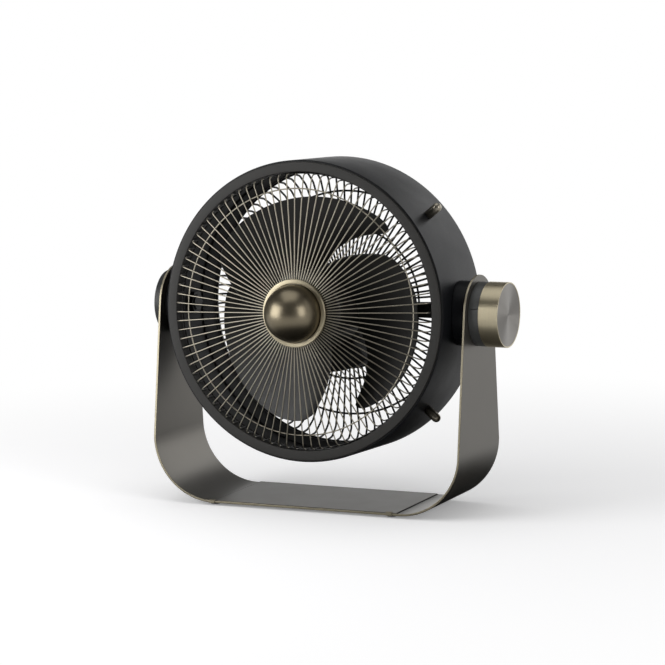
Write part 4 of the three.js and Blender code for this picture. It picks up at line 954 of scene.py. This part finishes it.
class FAN_OT_blade_wheel(bpy.types.Operator):
    """Makes the hub and the broad swept blades"""

    bl_idname = "fan.blade_wheel"
    bl_label = "Blade Wheel"

    def execute(self, context):
        sizes = context.scene.fan_blades
        tip, fall, hub = sizes.tip_radius / MM, sizes.tip_fall / MM, sizes.hub_radius / MM
        root = hub - 1.2
        bm = bmesh.new()
        bmesh.ops.create_grid(bm, x_segments=44, y_segments=18, size=0.5)
        for vert in bm.verts:
            chord, span = vert.co.x + 0.5, vert.co.y + 0.5
            radius = root + (blade_tip(tip, fall, chord) - root) * span
            # Each edge sweeps round with its distance from the hub, in degrees from the blade's own start.
            out = radius - hub
            leading, trailing = -2 + 0.65 * out, -99.5 + 0.6 * out - 0.0014 * out**2
            angle = math.radians(trailing + (leading - trailing) * chord)
            along = -sizes.trailing / MM + (sizes.trailing + sizes.leading) / MM * chord**0.8
            vert.co = Vector((radius * math.sin(angle), along, radius * math.cos(angle))) * MM
        bmesh.ops.recalc_face_normals(bm, faces=bm.faces)
        bmesh.ops.solidify(bm, geom=bm.faces[:], thickness=sizes.thickness)
        bmesh.ops.recalc_face_normals(bm, faces=bm.faces)
        bm.transform(IN_HEAD)
        repeated(bm, sizes.blades)
        face, back, bore, collar, collar_end = -sizes.hub_front / MM, sizes.hub_rear / MM, 4.3, 9, -20
        inner, floor = hub - 2.5, face + 4
        profile = [(bore, face), (20, face), *rounded([(22, face), (hub, face), (hub, back)], 4, 6)[1:]]
        profile += [(inner, back), (inner, floor), (collar, floor), (collar, collar_end), (bore, collar_end)]
        merged(bm, turned(profile, 96, closed=True))
        dress(bm, "blade_wheel", "rotor", "blade_plastic", ["moulded_polypropylene"], edge=0.6)
        return {"FINISHED"}


class FAN_OT_inner_parts(bpy.types.Operator):
    """Finishes the CAD pieces that stay: pivots, nuts, switch, bearings, motor parts and screws"""

    bl_idname = "fan.inner_parts"
    bl_label = "Inner Parts"

    def execute(self, context):
        paint_node("turned_steel", "pivot_nut_right", "pivot_nut_left", "dome_screw", "bearing_front", "bearing_rear")
        paint_node("turned_steel", "motor_shaft", "blade_nut", "drive_pin", "speed_switch", "switch_shaft")
        paint_node("black_oxide", "pivot_tube_right", "pivot_bolt_left", "boss_nut_right", "boss_nut_left")
        paint_node("laminated_iron", "stator_core", "magnet_rotor")
        paint_node("natural_nylon", "pivot_bush_right", "pivot_bush_left")
        paint_node("moulded_abs", "cable_duct", "knob_core")
        paint_node("solder_resist", "control_board")
        return {"FINISHED"}


# ---- studio

FAN_MIDDLE = Vector((0, 0, 0.22))


def soft_box(name, place, width, height, radiance):
    """A rectangular soft box that faces the fan's middle, at a plain radiance."""
    lamp = bpy.data.lights.new(name, "AREA")
    lamp.shape = "RECTANGLE"
    lamp.size, lamp.size_y = width, height
    lamp.energy = radiance * math.pi * width * height
    holder = in_scene(name, lamp)
    holder.location = place
    holder.rotation_euler = (FAN_MIDDLE - Vector(place)).to_track_quat("-Z", "Y").to_euler()


class FAN_OT_studio(bpy.types.Operator):
    """Sets up the pale floor, the soft boxes, the room and the camera"""

    bl_idname = "fan.studio"
    bl_label = "Studio"

    def execute(self, context):
        studio = context.scene.fan_studio
        self.lay_floor(context.scene.fan_colours.floor)
        right_lamp = studio.side_lamps * 0.75
        for side, place, width, height, radiance in (
            ("left", (-0.98, -0.88, 0.5), 1.08, 0.94, studio.side_lamps),
            ("right", (2.05, -0.9, 0.8), 0.95, 1.5, right_lamp),
            ("top", (-0.2, -0.1, 2.3), 2.2, 1.8, studio.top_lamp),
        ):
            soft_box(f"{side}_soft_box", place, width, height, radiance)
        self.light_room(context.scene, studio.room)
        self.place_camera(context.scene, studio)
        return {"FINISHED"}

    @staticmethod
    def lay_floor(rgb):
        """A round floor whose far part fades into the white backdrop."""
        floor_radius = 2.6
        bm = bmesh.new()
        bmesh.ops.create_circle(bm, cap_ends=True, segments=96, radius=floor_radius)
        floor = in_scene("studio_floor", as_mesh(bm, "studio_floor"))
        # Matt paper sweep: no gloss, with the fan's shadow near it, and white further out.
        material = new_material("matt_paper_sweep")
        tree = material.node_tree
        ray = add_node(tree, "LightPath").outputs
        clear = add_node(tree, "Math", {0: ray["Is Camera Ray"], 1: ray["Is Transmission Ray"]}, operation="MAXIMUM")
        place = add_node(tree, "TexCoord").outputs["Object"]
        out = add_node(tree, "VectorMath", {0: place}, operation="LENGTH").outputs["Value"]
        # The lens and glass see it turn white from 0.25 m out, and satin metal sooner and less so.
        far = add_node(tree, "MapRange", {"Value": out, "From Min": 0.25, "From Max": 1.05}, **SMOOTH)
        seen_white = add_node(tree, "Math", {0: far, 1: clear}, operation="MULTIPLY")
        beyond = add_node(
            tree, "MapRange", {"Value": out, "From Min": 0.2, "From Max": 0.45, "To Max": 0.68}, **SMOOTH
        )
        mirrored = add_node(tree, "Math", {0: beyond, 1: ray["Is Glossy Ray"]}, operation="MULTIPLY")
        fade = add_node(tree, "Math", {0: seen_white, 1: mirrored}, operation="MAXIMUM")
        # Near the fan, metal sees the paper in painted shade, dark as if under the fan, and the lens sees it lifted a
        # little.
        shade, lift = (0.04, 0.04, 0.04, 1.0), 0.23
        tone = add_node(tree, "Mix", {0: ray["Is Glossy Ray"], 6: (*rgb, 1.0), 7: shade}, data_type="RGBA")
        paper = add_node(tree, "BsdfDiffuse", {"Color": tone.outputs[2]})
        lifted = add_node(tree, "Math", {0: clear, 1: lift}, operation="MULTIPLY")
        glow = add_node(tree, "Emission", {"Color": (1, 1, 1, 1), "Strength": lifted})
        near = add_node(tree, "AddShader", {0: paper, 1: glow})
        white = add_node(tree, "Emission", {"Color": (1, 1, 1, 1), "Strength": 1.0})
        whole_sweep = add_node(tree, "MixShader", {0: fade, 1: near, 2: white})
        add_node(tree, "OutputMaterial", {"Surface": whole_sweep})
        floor.data.materials.append(material)

    @staticmethod
    def light_room(scene, room):
        """A room that is white to the lens and to glass, that metal sees as a pale band low behind the fan and dim
        elsewhere, and that lights everything else evenly."""
        world = bpy.data.worlds.new("studio_room")
        scene.world = world
        world.use_nodes = True
        tree = world.node_tree
        tree.nodes.clear()
        ray = add_node(tree, "LightPath").outputs
        way = add_node(tree, "SeparateXYZ", {0: add_node(tree, "TexCoord").outputs["Generated"]}).outputs
        behind = add_node(tree, "MapRange", {"Value": way["Y"], "From Min": -0.1, "From Max": 0.45}, **SMOOTH)
        # The band's upper edge rises towards the right. Below it the room is bright, and above it nearly dark.
        slant = add_node(tree, "Math", {0: way["X"], 1: -0.5, 2: way["Z"]}, operation="MULTIPLY_ADD")
        bright, dark, dim = 1.25, 0.03, 0.09
        edge = {"From Min": 0.28, "From Max": 0.48, "To Min": bright, "To Max": dark}
        low = add_node(tree, "MapRange", {"Value": slant, **edge}, **SMOOTH)
        band = add_node(tree, "Math", {0: behind, 1: low, 2: dim}, operation="MULTIPLY_ADD")
        strength = add_node(tree, "Mix", {0: ray["Is Glossy Ray"], 2: room, 3: band}, data_type="FLOAT")
        for seen in ("Is Camera Ray", "Is Transmission Ray"):
            strength = add_node(tree, "Mix", {0: ray[seen], 2: strength, 3: 1.0}, data_type="FLOAT")
        glow = add_node(tree, "Background", {"Color": (1, 1, 1, 1), "Strength": strength})
        add_node(tree, "OutputWorld", {"Surface": glow})
        scene.view_settings.view_transform = "Standard"

    @staticmethod
    def place_camera(scene, studio):
        """The photograph's camera, from its azimuth, elevation, roll and distance."""
        az, el, roll = studio.azimuth, studio.elevation, studio.roll
        back = Vector((math.sin(az) * math.cos(el), -math.cos(az) * math.cos(el), math.sin(el)))
        level = Vector((math.cos(az), math.sin(az), 0))
        upright = back.cross(level)
        right = level * math.cos(roll) + upright * math.sin(roll)
        up = upright * math.cos(roll) - level * math.sin(roll)
        looked_at = Vector((-0.0026, PIVOT.y, 0.19681))
        lens = bpy.data.cameras.new("photo_camera")
        lens.lens = studio.lens
        lens.sensor_width = 36
        holder = in_scene("photo_camera", lens)
        facing = Matrix((right, up, back)).transposed().to_4x4()
        holder.matrix_world = Matrix.Translation(looked_at + back * studio.distance) @ facing
        scene.camera = holder


# ---- panel and registration


class FAN_PT_pieces(bpy.types.Panel):
    """The fan's pieces in the order that they are made"""

    bl_idname = "FAN_PT_pieces"
    bl_label = "Drum Fan"
    bl_space_type = "VIEW_3D"
    bl_region_type = "UI"
    bl_category = "Drum Fan"

    def draw(self, context):
        for operator in OPERATORS:
            self.layout.operator(operator.bl_idname)
        for group in GROUPS:
            settings = getattr(context.scene, group)
            box = self.layout.box()
            for name in settings.__annotations__:
                box.prop(settings, name)


GROUPS = {
    "fan_yoke": FanYokeSizes,
    "fan_drum": FanDrumSizes,
    "fan_grille": FanGrilleSizes,
    "fan_blades": FanBladeSizes,
    "fan_fittings": FanFittingSizes,
    "fan_colours": FanColours,
    "fan_studio": FanStudioSizes,
}
OPERATORS = (
    FAN_OT_yoke,
    FAN_OT_base_trim,
    FAN_OT_arm_fittings,
    FAN_OT_knob,
    FAN_OT_drum,
    FAN_OT_bosses_and_pegs,
    FAN_OT_front_grille,
    FAN_OT_centre_cap,
    FAN_OT_rear_grille,
    FAN_OT_motor,
    FAN_OT_blade_wheel,
    FAN_OT_inner_parts,
    FAN_OT_studio,
)


def register():
    """Registers the settings, the operators and the panel."""
    for name, group in GROUPS.items():
        bpy.utils.register_class(group)
        setattr(bpy.types.Scene, name, PointerProperty(type=group))
    for cls in (*OPERATORS, FAN_PT_pieces):
        bpy.utils.register_class(cls)


def unregister():
    """Removes what register added."""
    for cls in (FAN_PT_pieces, *reversed(OPERATORS)):
        bpy.utils.unregister_class(cls)
    for name, group in reversed(GROUPS.items()):
        delattr(bpy.types.Scene, name)
        bpy.utils.unregister_class(group)


def main():
    """Registers the add-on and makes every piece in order."""
    register()
    FINISHES.update(make_finishes(bpy.context.scene.fan_colours))
    for operator in OPERATORS:
        family, action = operator.bl_idname.split(".")
        getattr(getattr(bpy.ops, family), action)()
    bpy.context.view_layer.update()


if __name__ == "__main__":
    main()
